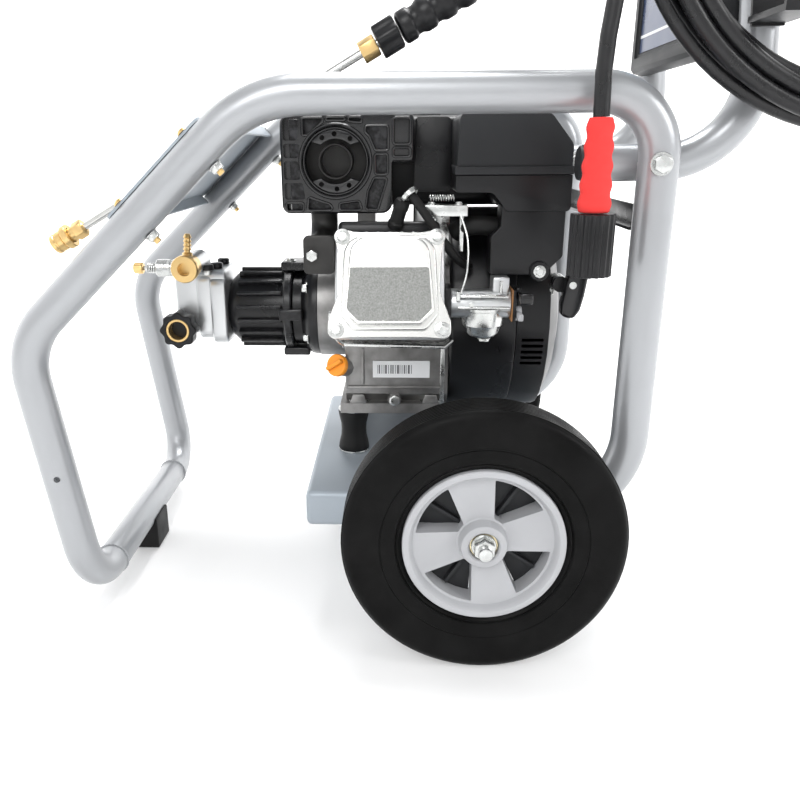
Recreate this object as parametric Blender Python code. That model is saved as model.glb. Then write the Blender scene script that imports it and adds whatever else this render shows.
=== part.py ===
"""Petrol pressure washer: tube frame, 200 cc engine, axial pump, lance and hose.

Every sub-part is its own object.  X runs from the front foot to the handle, Y across
the machine and Z up.  The layout is written with X = 0 near the middle of the engine, and
one parent empty moves the whole so that the origin lies under the middle of the machine.
"""

import math

import bmesh
import bpy
from mathutils import Matrix, Vector

# ---------------------------------------------------------------- driving dimensions (m)
GAP = 0.0003  # seam between two pieces that touch
RUN = 0.0003  # radial clearance of a turning fit
LAYOUT_SHIFT = -0.0110  # from the layout's zero to the middle of the machine

TUBE_SIDES = 10  # flats around every bent tube

# frame
FRAME_TUBE = 0.033
FRAME_WALL = 0.002
HALF_WIDTH = 0.175  # machine centre plane to a side tube's centreline
RAIL_FRONT_X = -0.055
RAIL_Z = 0.131
REAR_X = 0.2045
TOP_Z = 0.504
TOP_FRONT_X = -0.131
KNEE_X, KNEE_Z = -0.3525, 0.2925
FOOT_X, FOOT_Z = -0.3165, 0.040
FOOT_SEAM_Y = 0.118  # where the side tubes meet the front foot tube
RAIL_BEND, TOP_BEND, FRONT_BEND, KNEE_BEND, FOOT_BEND = 0.080, 0.052, 0.110, 0.072, 0.050
PAD_LENGTH, PAD_WIDTH = 0.044, 0.030

# tray, cross plate and nozzle panel
TRAY_FRONT_X, TRAY_REAR_X = -0.099, 0.160
TRAY_TOP_Z, TRAY_DEPTH, TRAY_SHEET = 0.140, 0.037, 0.003
PLATE_Z, PLATE_HEIGHT, PLATE_SHEET, PLATE_LIP = 0.392, 0.020, 0.003, 0.012
PANEL_START, PANEL_END = 0.144, 0.262  # along the front diagonal, from the knee
PANEL_OVERHANG, PANEL_SHEET = 0.007, 0.0025  # past the side tubes' centrelines
PANEL_HALF = HALF_WIDTH + PANEL_OVERHANG
PANEL_BOLT_RADIUS = 0.003

# wheels
WHEEL_X, WHEEL_RADIUS, WHEEL_WIDTH = 0.068, 0.127, 0.044
WHEEL_GAP = 0.0055  # side tube to wheel
RIM_RADIUS, HUB_RADIUS, AXLE_RADIUS = 0.0725, 0.021, 0.008

# engine
CRANK_Y, CRANK_Z = 0.035, 0.287
CYL_X, CYL_TILT = -0.017, math.radians(18)
CASE_X0, CASE_X1 = -0.064, 0.044
CASE_Y0, CASE_Y1 = -0.062, 0.118
BASE_Z = 0.190  # underside of the crankcase foot
MOUNT_RADIUS, MOUNT_Y, MOUNT_X = 0.017, 0.081, 0.047
FAN_RADIUS, FAN_X0, FAN_X1 = 0.112, 0.0443, 0.1117
RECOIL_RADIUS, RECOIL_X1 = 0.1105, 0.163
SHAFT_RADIUS = 0.0125
CASE_WALL, TANK_WALL, MUFFLER_WALL = 0.006, 0.0015, 0.002
FILLER_RADIUS, TAIL_RADIUS = 0.019, 0.006

# pump
PUMP_RADIUS, PUMP_X0, PUMP_X1 = 0.045, -0.200, -0.0973
HEAD_X0 = -0.258
OUTLET_X, OUTLET_Z = -0.2345, 0.3412
INLET_X, INLET_Z = -0.2500, 0.2725
UNLOADER_Y, UNLOADER_Z = -0.006, 0.3325  # across from the crankshaft, and height

# handle
HANDLE_TUBE, HANDLE_WALL = 0.031, 0.002
HANDLE_CLEARANCE = 0.003  # side tube to handle tube
HANDLE_HALF = HALF_WIDTH - (FRAME_TUBE + HANDLE_TUBE) / 2 - HANDLE_CLEARANCE
STUB_X, STUB_Z = 0.150, 0.448
ARM_X, ARM_LEAN = 0.2942, math.radians(5)
HANDLE_BEND, HANDLE_TOP_Z, CORNER_BEND = 0.072, 0.930, 0.060
PIVOT_X = 0.2015
BOLT_RADIUS = 0.005

# lance and gun, set out along the lance from its tip
LANCE_TIP = Vector((-0.325, -0.140, 0.3787))
LANCE_RISE = math.radians(29.2)
LANCE_RADIUS = 0.0035

# hose
HOSE_RADIUS = 0.0064
HOSE_Y, HOSE_X = -0.211, 0.146
COIL_X, COIL_Y, COIL_Z = 0.365, -0.190, 0.680
COIL_OUTER, COIL_INNER, COIL_WIDTH = 0.212, 0.174, 0.028

# ------------------------------------------------------------------------------ finishes
FINISHES = {
    "silver_paint": ((0.62, 0.63, 0.64), 0.32, 0.75),
    "grey_sheet": ((0.45, 0.46, 0.47), 0.45, 0.6),
    "black_paint": ((0.02, 0.02, 0.022), 0.45, 0.0),
    "black_plastic": ((0.02, 0.02, 0.022), 0.5, 0.0),
    "grey_plastic": ((0.27, 0.28, 0.29), 0.5, 0.0),
    "dark_plastic": ((0.06, 0.062, 0.065), 0.55, 0.0),
    "rubber": ((0.015, 0.015, 0.016), 0.75, 0.0),
    "cast_aluminium": ((0.60, 0.61, 0.62), 0.4, 0.9),
    "black_cast": ((0.02, 0.02, 0.022), 0.5, 0.0),
    "dark_steel": ((0.05, 0.05, 0.052), 0.5, 0.4),
    "zinc": ((0.66, 0.66, 0.64), 0.3, 1.0),
    "brass": ((0.72, 0.50, 0.22), 0.3, 1.0),
    "steel": ((0.55, 0.56, 0.57), 0.3, 1.0),
    "orange_plastic": ((0.85, 0.36, 0.03), 0.4, 0.0),
    "red_rubber": ((0.72, 0.035, 0.03), 0.5, 0.0),
}


def finish(name):
    """The material called name, made on its first use."""
    found = bpy.data.materials.get(name)
    if found:
        return found
    colour, rough, metal = FINISHES[name]
    made = bpy.data.materials.new(name)
    made.use_nodes = True
    shader = made.node_tree.nodes["Principled BSDF"]
    shader.inputs["Base Color"].default_value = (*colour, 1.0)
    shader.inputs["Roughness"].default_value = rough
    shader.inputs["Metallic"].default_value = metal
    made.diffuse_color = (*colour, 1.0)
    return made


# -------------------------------------------------------------------------------- shapes
def mesh_from(build):
    """A mesh whose faces all point out, filled in by build(bm)."""
    bm = bmesh.new()
    build(bm)
    bmesh.ops.recalc_face_normals(bm, faces=bm.faces[:])
    mesh = bpy.data.meshes.new("shape")
    bm.to_mesh(mesh)
    bm.free()
    return mesh


def box(low, high):
    """A block between two corners."""
    low, high = Vector(low), Vector(high)

    def build(bm):
        bmesh.ops.create_cube(bm, size=1.0)
        size = Matrix.Diagonal((*(high - low), 1.0))
        bmesh.ops.transform(bm, matrix=Matrix.Translation((low + high) / 2) @ size, verts=bm.verts)

    return mesh_from(build)


AXES = {
    "X": Matrix(((0, 0, 1, 0), (1, 0, 0, 0), (0, 1, 0, 0), (0, 0, 0, 1))),
    "Y": Matrix(((0, 1, 0, 0), (0, 0, 1, 0), (1, 0, 0, 0), (0, 0, 0, 1))),
    "Z": Matrix.Identity(4),
}


def turned(profile, centre=(0, 0, 0), axis="Z", sides=24, phase=0.0):
    """A turned solid.  profile is a list of (radius, height) along the axis.

    A profile that starts and ends at radius 0 makes a solid piece.  Any other profile is
    closed on itself and makes a ring.
    """
    place = Matrix.Translation(centre) @ AXES[axis]
    solid = profile[0][0] == 0 and profile[-1][0] == 0

    def build(bm):
        rows = []
        for radius, height in profile:
            if radius == 0:
                rows.append([bm.verts.new((0, 0, height))])
                continue
            row = []
            for k in range(sides):
                turn = phase + 2 * math.pi * k / sides
                row.append(bm.verts.new((radius * math.cos(turn), radius * math.sin(turn), height)))
            rows.append(row)
        pairs = list(zip(rows, rows[1:]))
        if not solid:
            pairs.append((rows[-1], rows[0]))
        for low, high in pairs:
            for k in range(sides):
                n = (k + 1) % sides
                if len(low) == 1:
                    bm.faces.new((low[0], high[n], high[k]))
                elif len(high) == 1:
                    bm.faces.new((low[k], low[n], high[0]))
                else:
                    bm.faces.new((low[k], low[n], high[n], high[k]))
        bmesh.ops.transform(bm, matrix=place, verts=bm.verts)

    return mesh_from(build)


def rod(start, end, radius, sides=16, bore=0.0, phase=0.0):
    """A straight round bar between two points, with a through bore if bore is set."""
    start, end = Vector(start), Vector(end)
    span = end - start
    if bore:
        profile = [(bore, 0.0), (radius, 0.0), (radius, span.length), (bore, span.length)]
    else:
        profile = [(0, 0.0), (radius, 0.0), (radius, span.length), (0, span.length)]
    mesh = turned(profile, sides=sides, phase=phase)
    turn = span.to_track_quat("Z", "Y").to_matrix().to_4x4()
    mesh.transform(Matrix.Translation(start) @ turn)
    return mesh


def prism(outline, low, high, along="Y"):
    """An outline pushed along an axis.  It is (X, Z) for Y, (X, Y) for Z and (Y, Z) for X."""
    point = {
        "Y": lambda u, v, w: (u, w, v),
        "Z": lambda u, v, w: (u, v, w),
        "X": lambda u, v, w: (w, u, v),
    }[along]

    def build(bm):
        first = [bm.verts.new(point(u, v, low)) for u, v in outline]
        last = [bm.verts.new(point(u, v, high)) for u, v in outline]
        bm.faces.new(first)
        bm.faces.new(last)
        for k in range(len(outline)):
            n = (k + 1) % len(outline)
            bm.faces.new((first[k], first[n], last[n], last[k]))

    return mesh_from(build)


def rounded(points, radii, steps):
    """A path through points whose corners are arcs of the given radii."""
    path = [Vector(points[0])]
    for before, corner, after, radius, count in zip(points, points[1:], points[2:], radii, steps):
        corner = Vector(corner)
        back = (Vector(before) - corner).normalized()
        ahead = (Vector(after) - corner).normalized()
        half = back.angle(ahead) / 2
        cut = radius / math.tan(half)
        centre = corner + (back + ahead).normalized() * (radius / math.sin(half))
        first = (corner + back * cut - centre).normalized()
        last = (corner + ahead * cut - centre).normalized()
        for k in range(count + 1):
            path.append(centre + first.slerp(last, k / count) * radius)
    path.append(Vector(points[-1]))
    return path


def swept(path, radius, bore=0.0, sides=12):
    """A round tube along path, open at both ends if it has a bore."""
    path = [Vector(p) for p in path]

    def build(bm):
        def rings(size):
            made = []
            side = None
            for k, point in enumerate(path):
                ahead = (path[min(k + 1, len(path) - 1)] - path[max(k - 1, 0)]).normalized()
                if side is None:
                    side = ahead.orthogonal().normalized()
                side = (side - ahead * side.dot(ahead)).normalized()
                up = ahead.cross(side)
                ring = []
                for j in range(sides):
                    turn = 2 * math.pi * j / sides
                    offset = side * math.cos(turn) + up * math.sin(turn)
                    ring.append(bm.verts.new(point + offset * size))
                made.append(ring)
            return made

        def wall(a, b):
            for j in range(sides):
                n = (j + 1) % sides
                bm.faces.new((a[j], a[n], b[n], b[j]))

        outer = rings(radius)
        for a, b in zip(outer, outer[1:]):
            wall(a, b)
        if bore:
            inner = rings(bore)
            for a, b in zip(inner, inner[1:]):
                wall(a, b)
            wall(outer[0], inner[0])
            wall(outer[-1], inner[-1])
        else:
            bm.faces.new(outer[0])
            bm.faces.new(outer[-1])

    return mesh_from(build)


def regular(count, radius, centre=(0.0, 0.0), phase=0.0):
    """The corners of a regular polygon."""
    corners = []
    for k in range(count):
        turn = phase + 2 * math.pi * k / count
        corners.append((centre[0] + radius * math.cos(turn), centre[1] + radius * math.sin(turn)))
    return corners


def chamfered(low, high, cut):
    """A rectangle with its four corners cut off."""
    (a, b), (c, d) = low, high
    return [
        (a + cut, b), (c - cut, b), (c, b + cut), (c, d - cut),
        (c - cut, d), (a + cut, d), (a, d - cut), (a, b + cut),
    ]


def moved(mesh, matrix):
    """The same mesh, carried by matrix."""
    mesh.transform(matrix)
    return mesh


def made(name, look, shapes, cuts=(), origin=(0, 0, 0), matrix=None):
    """One object: shapes joined, cuts taken out, its origin put at a point."""
    scene = bpy.context.scene.collection

    def temporary(mesh):
        piece = bpy.data.objects.new("operand", mesh)
        scene.objects.link(piece)
        return piece

    body = bpy.data.objects.new(name, shapes[0])
    scene.objects.link(body)
    used = []
    for mesh, kind in [(m, "UNION") for m in shapes[1:]] + [(m, "DIFFERENCE") for m in cuts]:
        operand = temporary(mesh)
        used.append(operand)
        step = body.modifiers.new(kind.lower(), "BOOLEAN")
        step.operation = kind
        step.solver = "EXACT"
        step.object = operand
    if used:
        graph = bpy.context.evaluated_depsgraph_get()
        result = bpy.data.meshes.new_from_object(body.evaluated_get(graph))
        body.modifiers.clear()
        body.data = result
        for operand in used:
            bpy.data.objects.remove(operand, do_unlink=True)
    body.data.name = name
    if matrix is not None:
        body.data.transform(matrix)
    origin = Vector(origin)
    body.data.transform(Matrix.Translation(-origin))
    body.location = origin
    body.data.materials.clear()
    body.data.materials.append(finish(look))
    body.data.shade_smooth()
    body.data.set_sharp_from_angle(angle=math.radians(35))
    body.parent = bpy.data.objects["machine"]
    return body


# --------------------------------------------------------------------------------- frame
def diagonal():
    """Start, direction and outward normal of the front diagonal, in the X-Z plane."""
    start = Vector((KNEE_X, 0, KNEE_Z))
    ahead = (Vector((TOP_FRONT_X, 0, TOP_Z)) - start).normalized()
    return start, ahead, Vector((-ahead.z, 0, ahead.x))


def on_diagonal(along, out, y):
    """A point beside the front diagonal: along it, off it and across the machine."""
    start, ahead, normal = diagonal()
    point = start + ahead * along + normal * out
    return Vector((point.x, y, point.z))


def panel_bolts(side):
    """The two places along the diagonal where the nozzle panel is bolted to a side tube."""
    for along in (PANEL_START + 0.018, PANEL_END - 0.018):
        yield along, side * HALF_WIDTH


def side_tube(name, side):
    """One side of the frame: a single bent tube from the bottom rail to the front foot."""
    y = side * HALF_WIDTH
    corners = [
        (RAIL_FRONT_X, y, RAIL_Z),
        (REAR_X, y, RAIL_Z),
        (REAR_X, y, TOP_Z),
        (TOP_FRONT_X, y, TOP_Z),
        (KNEE_X, y, KNEE_Z),
        (FOOT_X, y, FOOT_Z),
        (FOOT_X, side * FOOT_SEAM_Y, FOOT_Z),
    ]
    radii = (RAIL_BEND, TOP_BEND, FRONT_BEND, KNEE_BEND, FOOT_BEND)
    path = rounded(corners, radii, (4, 4, 3, 4, 3))
    half = FRAME_TUBE / 2
    holes = [
        rod((WHEEL_X, y - half * 1.5, WHEEL_RADIUS), (WHEEL_X, y + half * 1.5, WHEEL_RADIUS),
            AXLE_RADIUS + RUN, 12),
        rod((PIVOT_X, y - half * 1.5, STUB_Z), (PIVOT_X, y + half * 1.5, STUB_Z),
            BOLT_RADIUS + RUN, 12),
    ]
    for along, across in panel_bolts(side):
        low = on_diagonal(along, -half * 1.5, across)
        high = on_diagonal(along, half * 1.5, across)
        holes.append(rod(low, high, PANEL_BOLT_RADIUS + RUN, 8))
    made(name, "silver_paint", [swept(path, half, half - FRAME_WALL, TUBE_SIDES)], holes)


def frame():
    """Side tubes, front foot, tray, cross plate and nozzle panel."""
    half = FRAME_TUBE / 2
    side_tube("frame_side_near", -1)
    side_tube("frame_side_far", 1)
    end = FOOT_SEAM_Y - GAP
    foot = swept([(FOOT_X, -end, FOOT_Z), (FOOT_X, end, FOOT_Z)], half, half - FRAME_WALL, TUBE_SIDES)
    made("front_foot_tube", "silver_paint", [foot])
    pad = box(
        (FOOT_X - PAD_WIDTH / 2 + 0.004, -PAD_LENGTH / 2, 0),
        (FOOT_X + PAD_WIDTH / 2 + 0.004, PAD_LENGTH / 2, FOOT_Z - 0.002),
    )
    saddle = swept(
        [(FOOT_X, -PAD_LENGTH, FOOT_Z), (FOOT_X, PAD_LENGTH, FOOT_Z)], half + GAP, 0.0, TUBE_SIDES
    )
    made("foot_pad", "rubber", [pad], [saddle])

    edge = HALF_WIDTH - half - GAP
    tray = box((TRAY_FRONT_X, -edge, TRAY_TOP_Z - TRAY_DEPTH), (TRAY_REAR_X, edge, TRAY_TOP_Z))
    hollow = box(
        (TRAY_FRONT_X + TRAY_SHEET, -edge + TRAY_SHEET, 0.05),
        (TRAY_REAR_X - TRAY_SHEET, edge - TRAY_SHEET, TRAY_TOP_Z - TRAY_SHEET),
    )
    axle_way = rod((WHEEL_X, -0.2, WHEEL_RADIUS), (WHEEL_X, 0.2, WHEEL_RADIUS), AXLE_RADIUS + RUN, 12)
    made("engine_tray", "grey_sheet", [tray], [hollow, axle_way])

    web = box((REAR_X - PLATE_SHEET / 2, -edge, PLATE_Z), (REAR_X + PLATE_SHEET / 2, edge, PLATE_Z + PLATE_HEIGHT))
    lip = box(
        (REAR_X - PLATE_SHEET / 2 - PLATE_LIP, -edge + 0.004, PLATE_Z),
        (REAR_X, edge - 0.004, PLATE_Z + PLATE_SHEET),
    )
    made("cross_plate", "black_paint", [web, lip])
    nozzle_panel()


def nozzle_panel():
    """A folded sheet across the two front diagonals, with its four bolts and a lance slot."""
    start, ahead, normal = diagonal()
    half = FRAME_TUBE / 2
    under = half + GAP
    basis = Matrix((
        (ahead.x, 0, normal.x, start.x),
        (0, 1, 0, 0),
        (ahead.z, 0, normal.z, start.z),
        (0, 0, 0, 1),
    ))
    sheet = box((PANEL_START, -PANEL_HALF, under), (PANEL_END, PANEL_HALF, under + PANEL_SHEET))
    inner = HALF_WIDTH - half - 0.004
    lips = [
        box((PANEL_START, -inner + 0.03, under - 0.012), (PANEL_START + PANEL_SHEET, inner, under + 0.001)),
        box((PANEL_END - PANEL_SHEET, -inner + 0.03, under - 0.012), (PANEL_END, inner, under + 0.001)),
    ]
    slot_mid = lance_crossing()
    slot = box(
        (slot_mid - 0.028, LANCE_TIP.y - LANCE_RADIUS - 0.0035, 0.0),
        (slot_mid + 0.028, LANCE_TIP.y + LANCE_RADIUS + 0.0035, 0.05),
    )
    bolts = []
    for side in (-1, 1):
        for along, across in panel_bolts(side):
            bolts.append(rod((along, across, -half - 0.010), (along, across, under + 0.001), PANEL_BOLT_RADIUS, 8))
            bolts.append(rod((along, across, under + 0.001), (along, across, under + 0.006), 0.0065, 8))
            bolts.append(rod((along, across, -half - 0.0065), (along, across, -half - GAP), 0.0058, 6))
    made("nozzle_panel", "grey_sheet", [sheet, *lips, *bolts], [slot], matrix=basis)


def lance_crossing():
    """How far along the diagonal the lance passes through the nozzle panel."""
    start, ahead, normal = diagonal()
    way = Vector((math.cos(LANCE_RISE), 0, math.sin(LANCE_RISE)))
    tip = Vector((LANCE_TIP.x, 0, LANCE_TIP.z)) - start
    level = FRAME_TUBE / 2 + PANEL_SHEET / 2
    run = (level - tip.dot(normal)) / way.dot(normal)
    return (tip + way * run).dot(ahead)


# -------------------------------------------------------------------------------- wheels
def wheels():
    """Axle with its nuts, and two plastic rims with solid tyres."""
    inner = HALF_WIDTH + FRAME_TUBE / 2 + WHEEL_GAP
    outer = inner + WHEEL_WIDTH
    middle = (inner + outer) / 2
    ends = []
    for side in (-1, 1):
        ends.append(rod(
            (WHEEL_X, side * (outer + 0.0008), WHEEL_RADIUS),
            (WHEEL_X, side * (outer + 0.0028), WHEEL_RADIUS), 0.0145, 12))
        ends.append(rod(
            (WHEEL_X, side * (outer + 0.0026), WHEEL_RADIUS),
            (WHEEL_X, side * (outer + 0.0110), WHEEL_RADIUS), 0.0115, 6))
        ends.append(rod(
            (WHEEL_X, side * (inner - 0.0008), WHEEL_RADIUS),
            (WHEEL_X, side * (inner - 0.0030), WHEEL_RADIUS), 0.0135, 12))
    bar = rod((WHEEL_X, -outer - 0.015, WHEEL_RADIUS), (WHEEL_X, outer + 0.015, WHEEL_RADIUS), AXLE_RADIUS, 12, phase=0.1)
    made("axle", "zinc", [bar, *ends])
    for name, side in (("near", -1), ("far", 1)):
        wheel(name, side * middle)


def wheel(name, y):
    """One wheel: the rim turns on the axle and carries the tyre."""
    centre = (WHEEL_X, y, WHEEL_RADIUS)
    half = WHEEL_WIDTH / 2
    bore = AXLE_RADIUS + RUN
    bulk, hub, rim = 0.012, HUB_RADIUS, RIM_RADIUS
    side = [(bore, half), (hub - 0.003, half), (hub, half - 0.004), (hub + 0.001, bulk),
            (rim - 0.007, bulk), (rim - 0.006, half - 0.004), (rim - 0.001, half - 0.003), (rim, half - 0.006)]
    profile = [(r, -h) for r, h in side] + [(r, h) for r, h in reversed(side)]
    body = turned(profile, centre, "Y", 24)
    windows = []
    for k in range(4):
        fan = []
        for reach, angles in ((rim - 0.0085, (-27, -9, 9, 27)), (hub + 0.0030, (20, -20))):
            for a in angles:
                fan.append((reach * math.cos(math.radians(a)), reach * math.sin(math.radians(a))))
        spin = Matrix.Translation(centre) @ Matrix.Rotation(math.radians(33 + 90 * k), 4, "Y")
        for low, high in ((-0.03, -0.002), (0.002, 0.03)):
            windows.append(moved(prism(fan, low, high, "Y"), spin))
    made(f"wheel_rim_{name}", "grey_plastic", [body], windows, origin=centre)
    seat = RIM_RADIUS + GAP
    tyre = turned(
        [(seat, -half + 0.003), (seat + 0.010, -half), (WHEEL_RADIUS - 0.010, -half),
         (WHEEL_RADIUS, -half + 0.008), (WHEEL_RADIUS, half - 0.008),
         (WHEEL_RADIUS - 0.010, half), (seat + 0.010, half), (seat, half - 0.003)],
        centre, "Y", 24)
    made(f"wheel_tyre_{name}", "rubber", [tyre], origin=centre)


# -------------------------------------------------------------------------------- engine
def tilted(mesh):
    """A shape from the cylinder's frame: local Z runs out along the cylinder."""
    turn = Matrix.Rotation(math.radians(90) - CYL_TILT, 4, "X")
    return moved(mesh, Matrix.Translation((CYL_X, CRANK_Y, CRANK_Z)) @ turn)


def engine():
    """Crankcase, cylinder, covers, crankshaft and what the engine carries."""
    crankcase()
    cylinder()
    starter()
    exhaust()
    intake()
    tank()
    for k, (sx, sy) in enumerate(((-1, -1), (1, -1), (-1, 1), (1, 1))):
        x = (CASE_X0 + CASE_X1) / 2 + sx * MOUNT_X
        y = 0.040 + sy * MOUNT_Y
        mount = turned(
            [(0, TRAY_TOP_Z + GAP), (MOUNT_RADIUS, TRAY_TOP_Z + GAP),
             (MOUNT_RADIUS, TRAY_TOP_Z + 0.012), (MOUNT_RADIUS - 0.003, TRAY_TOP_Z + 0.025),
             (MOUNT_RADIUS, BASE_Z - 0.012), (MOUNT_RADIUS, BASE_Z - GAP), (0, BASE_Z - GAP)],
            (x, y, 0), "Z", 12)
        made(f"engine_mount_{k + 1}", "rubber", [mount])


def crankcase():
    """Crankcase casting with its foot, shaft bore, filler neck, drain and tank brackets."""
    body = prism(
        chamfered((CASE_Y0, BASE_Z + 0.008), (CASE_Y1, 0.345), 0.014), CASE_X0, CASE_X1, "X")
    foot = box((CASE_X0 - 0.006, CASE_Y0 - 0.001, BASE_Z), (CASE_X1 - 0.001, 0.140, BASE_Z + 0.011))
    flange = rod((PUMP_X1 + GAP, CRANK_Y, CRANK_Z), (CASE_X0 + 0.005, CRANK_Y, CRANK_Z), 0.056, 16)
    neck = rod((-0.058, -0.045, 0.236), (-0.0705, -0.068, 0.2445), 0.0105, 12)
    drain = rod((-0.012, -0.058, 0.2065), (-0.012, -0.0685, 0.2065), 0.0075, 6)
    rib_a = box((-0.055, 0.045, 0.340), (-0.035, 0.115, tank_floor() - GAP))
    rib_b = box((0.010, 0.045, 0.340), (0.030, 0.115, tank_floor() - GAP))
    bore = rod((PUMP_X0, CRANK_Y, CRANK_Z), (0.2, CRANK_Y, CRANK_Z), SHAFT_RADIUS + RUN, 16)
    wall = CASE_WALL
    sump = prism(
        chamfered((CASE_Y0 + wall, BASE_Z + 0.011 + wall), (CASE_Y1 - wall, 0.345 - wall), 0.014 - wall / 2),
        CASE_X0 + wall, CASE_X1 - wall, "X")
    made("crankcase", "cast_aluminium", [body, foot, flange, neck, drain, rib_a, rib_b], [sump, bore])
    cap_start = Vector((-0.0705, -0.068, 0.2445))
    way = (Vector((-0.0705, -0.068, 0.2445)) - Vector((-0.058, -0.045, 0.236))).normalized()
    head = rod(cap_start + way * GAP, cap_start + way * 0.007, 0.0118, 12)
    blade = rod(cap_start + way * 0.006, cap_start + way * 0.013, 0.0060, 6)
    made("oil_filler_cap", "orange_plastic", [head, blade], origin=cap_start)


CASE_FACE = 0.1215  # crankshaft to the cylinder's seat on the crankcase, along the cylinder
BARREL_END, HEAD_END, COVER_END = 0.147, 0.172, 0.197


def cylinder():
    """Finned barrel and head in one casting, and the valve cover on its end."""
    core = box((-0.040, -0.040, CASE_FACE), (0.040, 0.040, HEAD_END))
    fins = []
    for k in range(4):
        low = CASE_FACE + 0.003 + 0.0072 * k
        fins.append(box((-0.050, -0.048, low), (0.050, 0.048, low + 0.0030)))
    top = box((-0.0515, -0.049, BARREL_END + 0.007), (0.0515, 0.049, HEAD_END - GAP / 2))
    made("cylinder", "cast_aluminium",
         [tilted(core), *[tilted(f) for f in fins], tilted(top)],
         [box((CASE_X0 - 0.02, CASE_Y0 - GAP, 0.1), (CASE_X1 + 0.03, CASE_Y1, 0.3453))])
    start = HEAD_END + GAP
    rim = [
        (-0.0530, -0.050), (0.0530, -0.050), (0.0580, -0.043), (0.0530, -0.030), (0.0470, 0.030),
        (0.0500, 0.043), (0.0430, 0.051), (-0.0430, 0.051), (-0.0500, 0.043), (-0.0470, 0.030),
        (-0.0530, -0.030), (-0.0580, -0.043),
    ]
    plateau = [
        (-0.0400, -0.042), (0.0400, -0.042), (0.0450, -0.036), (0.0390, 0.036),
        (0.0320, 0.043), (-0.0320, 0.043), (-0.0390, 0.036), (-0.0450, -0.036),
    ]
    shapes = [prism(rim, start, start + 0.007, "Z"), prism(plateau, start + 0.005, COVER_END, "Z")]
    for x, z in ((-0.0500, -0.0435), (0.0500, -0.0435), (-0.0420, 0.0435), (0.0420, 0.0435)):
        shapes.append(rod((x, z, start + 0.004), (x, z, start + 0.013), 0.0060, 6))
    made("valve_cover", "cast_aluminium", [tilted(s) for s in shapes])

    root = Vector((0.004, -0.106, 0.400))
    lead = [root, (0.003, -0.110, 0.416), (0.012, -0.116, 0.426), (0.030, -0.117, 0.416),
            (0.0385, -0.110, 0.392), (0.046, -0.094, 0.372), (0.0560, -0.0800, 0.3580),
            (0.0620, -0.0690, 0.3480)]
    boot = rod((0.0045, -0.1035, 0.3878), (0.003, -0.110, 0.417), 0.0075, 10)
    made("spark_plug_lead", "rubber", [swept(lead, 0.0035, 0.0, 8), boot])


def starter():
    """Fan housing, recoil starter, its grip, the flywheel on the crankshaft and the switch."""
    centre = (0, CRANK_Y, CRANK_Z)
    wall = 0.003
    shell = turned(
        [(0.030, FAN_X0), (FAN_RADIUS, FAN_X0), (FAN_RADIUS, FAN_X1), (FAN_RADIUS - wall, FAN_X1),
         (FAN_RADIUS - wall, FAN_X0 + wall), (0.030, FAN_X0 + wall)], centre, "X", 24)
    made("fan_housing", "black_cast", [shell])
    front = FAN_X1 + GAP
    dome = turned(
        [(0, RECOIL_X1), (0.060, RECOIL_X1), (0.084, RECOIL_X1 - 0.006), (RECOIL_RADIUS, RECOIL_X1 - 0.018),
         (RECOIL_RADIUS, front), (RECOIL_RADIUS - wall, front),
         (RECOIL_RADIUS - wall, RECOIL_X1 - 0.019), (0.083, RECOIL_X1 - 0.009),
         (0.059, RECOIL_X1 - 0.003), (0, RECOIL_X1 - 0.003)], centre, "X", 24)
    guide = rod((0.152, -0.055, 0.3320), (0.152, -0.0797, 0.3320), 0.0080, 10)
    inside = turned(
        [(0, 0.100), (RECOIL_RADIUS - wall, 0.100), (RECOIL_RADIUS - wall, RECOIL_X1 - 0.019),
         (0, RECOIL_X1 - 0.019)], centre, "X", 24)
    vents = []
    for k in range(5):
        z = 0.246 + 0.0065 * k
        vents.append(box((0.118, -0.120, z), (0.140, 0.0, z + 0.0035)))
    made("recoil_cover", "black_plastic", [dome, guide], [inside, *vents])

    grip_root = Vector((0.158, -0.0885, 0.334))
    spine = [(0.1500, 0.3015), (0.1640, 0.3000), (0.1700, 0.3120), (0.1735, 0.3350),
             (0.1785, 0.3580), (0.1760, 0.3665), (0.1640, 0.3680), (0.1570, 0.3480), (0.1520, 0.3250)]
    made("recoil_grip", "black_plastic", [prism(spine, -0.0975, -0.0800, "Y")], origin=grip_root)

    shaft = rod((-0.140, CRANK_Y, CRANK_Z), (0.118, CRANK_Y, CRANK_Z), SHAFT_RADIUS, 16)
    disc = turned([(0, 0.070), (0.092, 0.070), (0.092, 0.084), (0.040, 0.100), (0, 0.100)], centre, "X", 20)
    made("crankshaft_flywheel", "dark_steel", [shaft, disc], origin=(0.0, CRANK_Y, CRANK_Z))

    side = CRANK_Y + FAN_RADIUS + GAP
    knob = rod((0.080, side, CRANK_Z), (0.080, side + 0.006, CRANK_Z), 0.012, 16)
    bar = box((0.0765, side + 0.005, CRANK_Z - 0.011), (0.0835, side + 0.010, CRANK_Z + 0.011))
    made("engine_switch", "dark_plastic", [knob, bar], origin=(0.080, side, CRANK_Z))


MUFFLER_FRONT = -0.080


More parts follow.
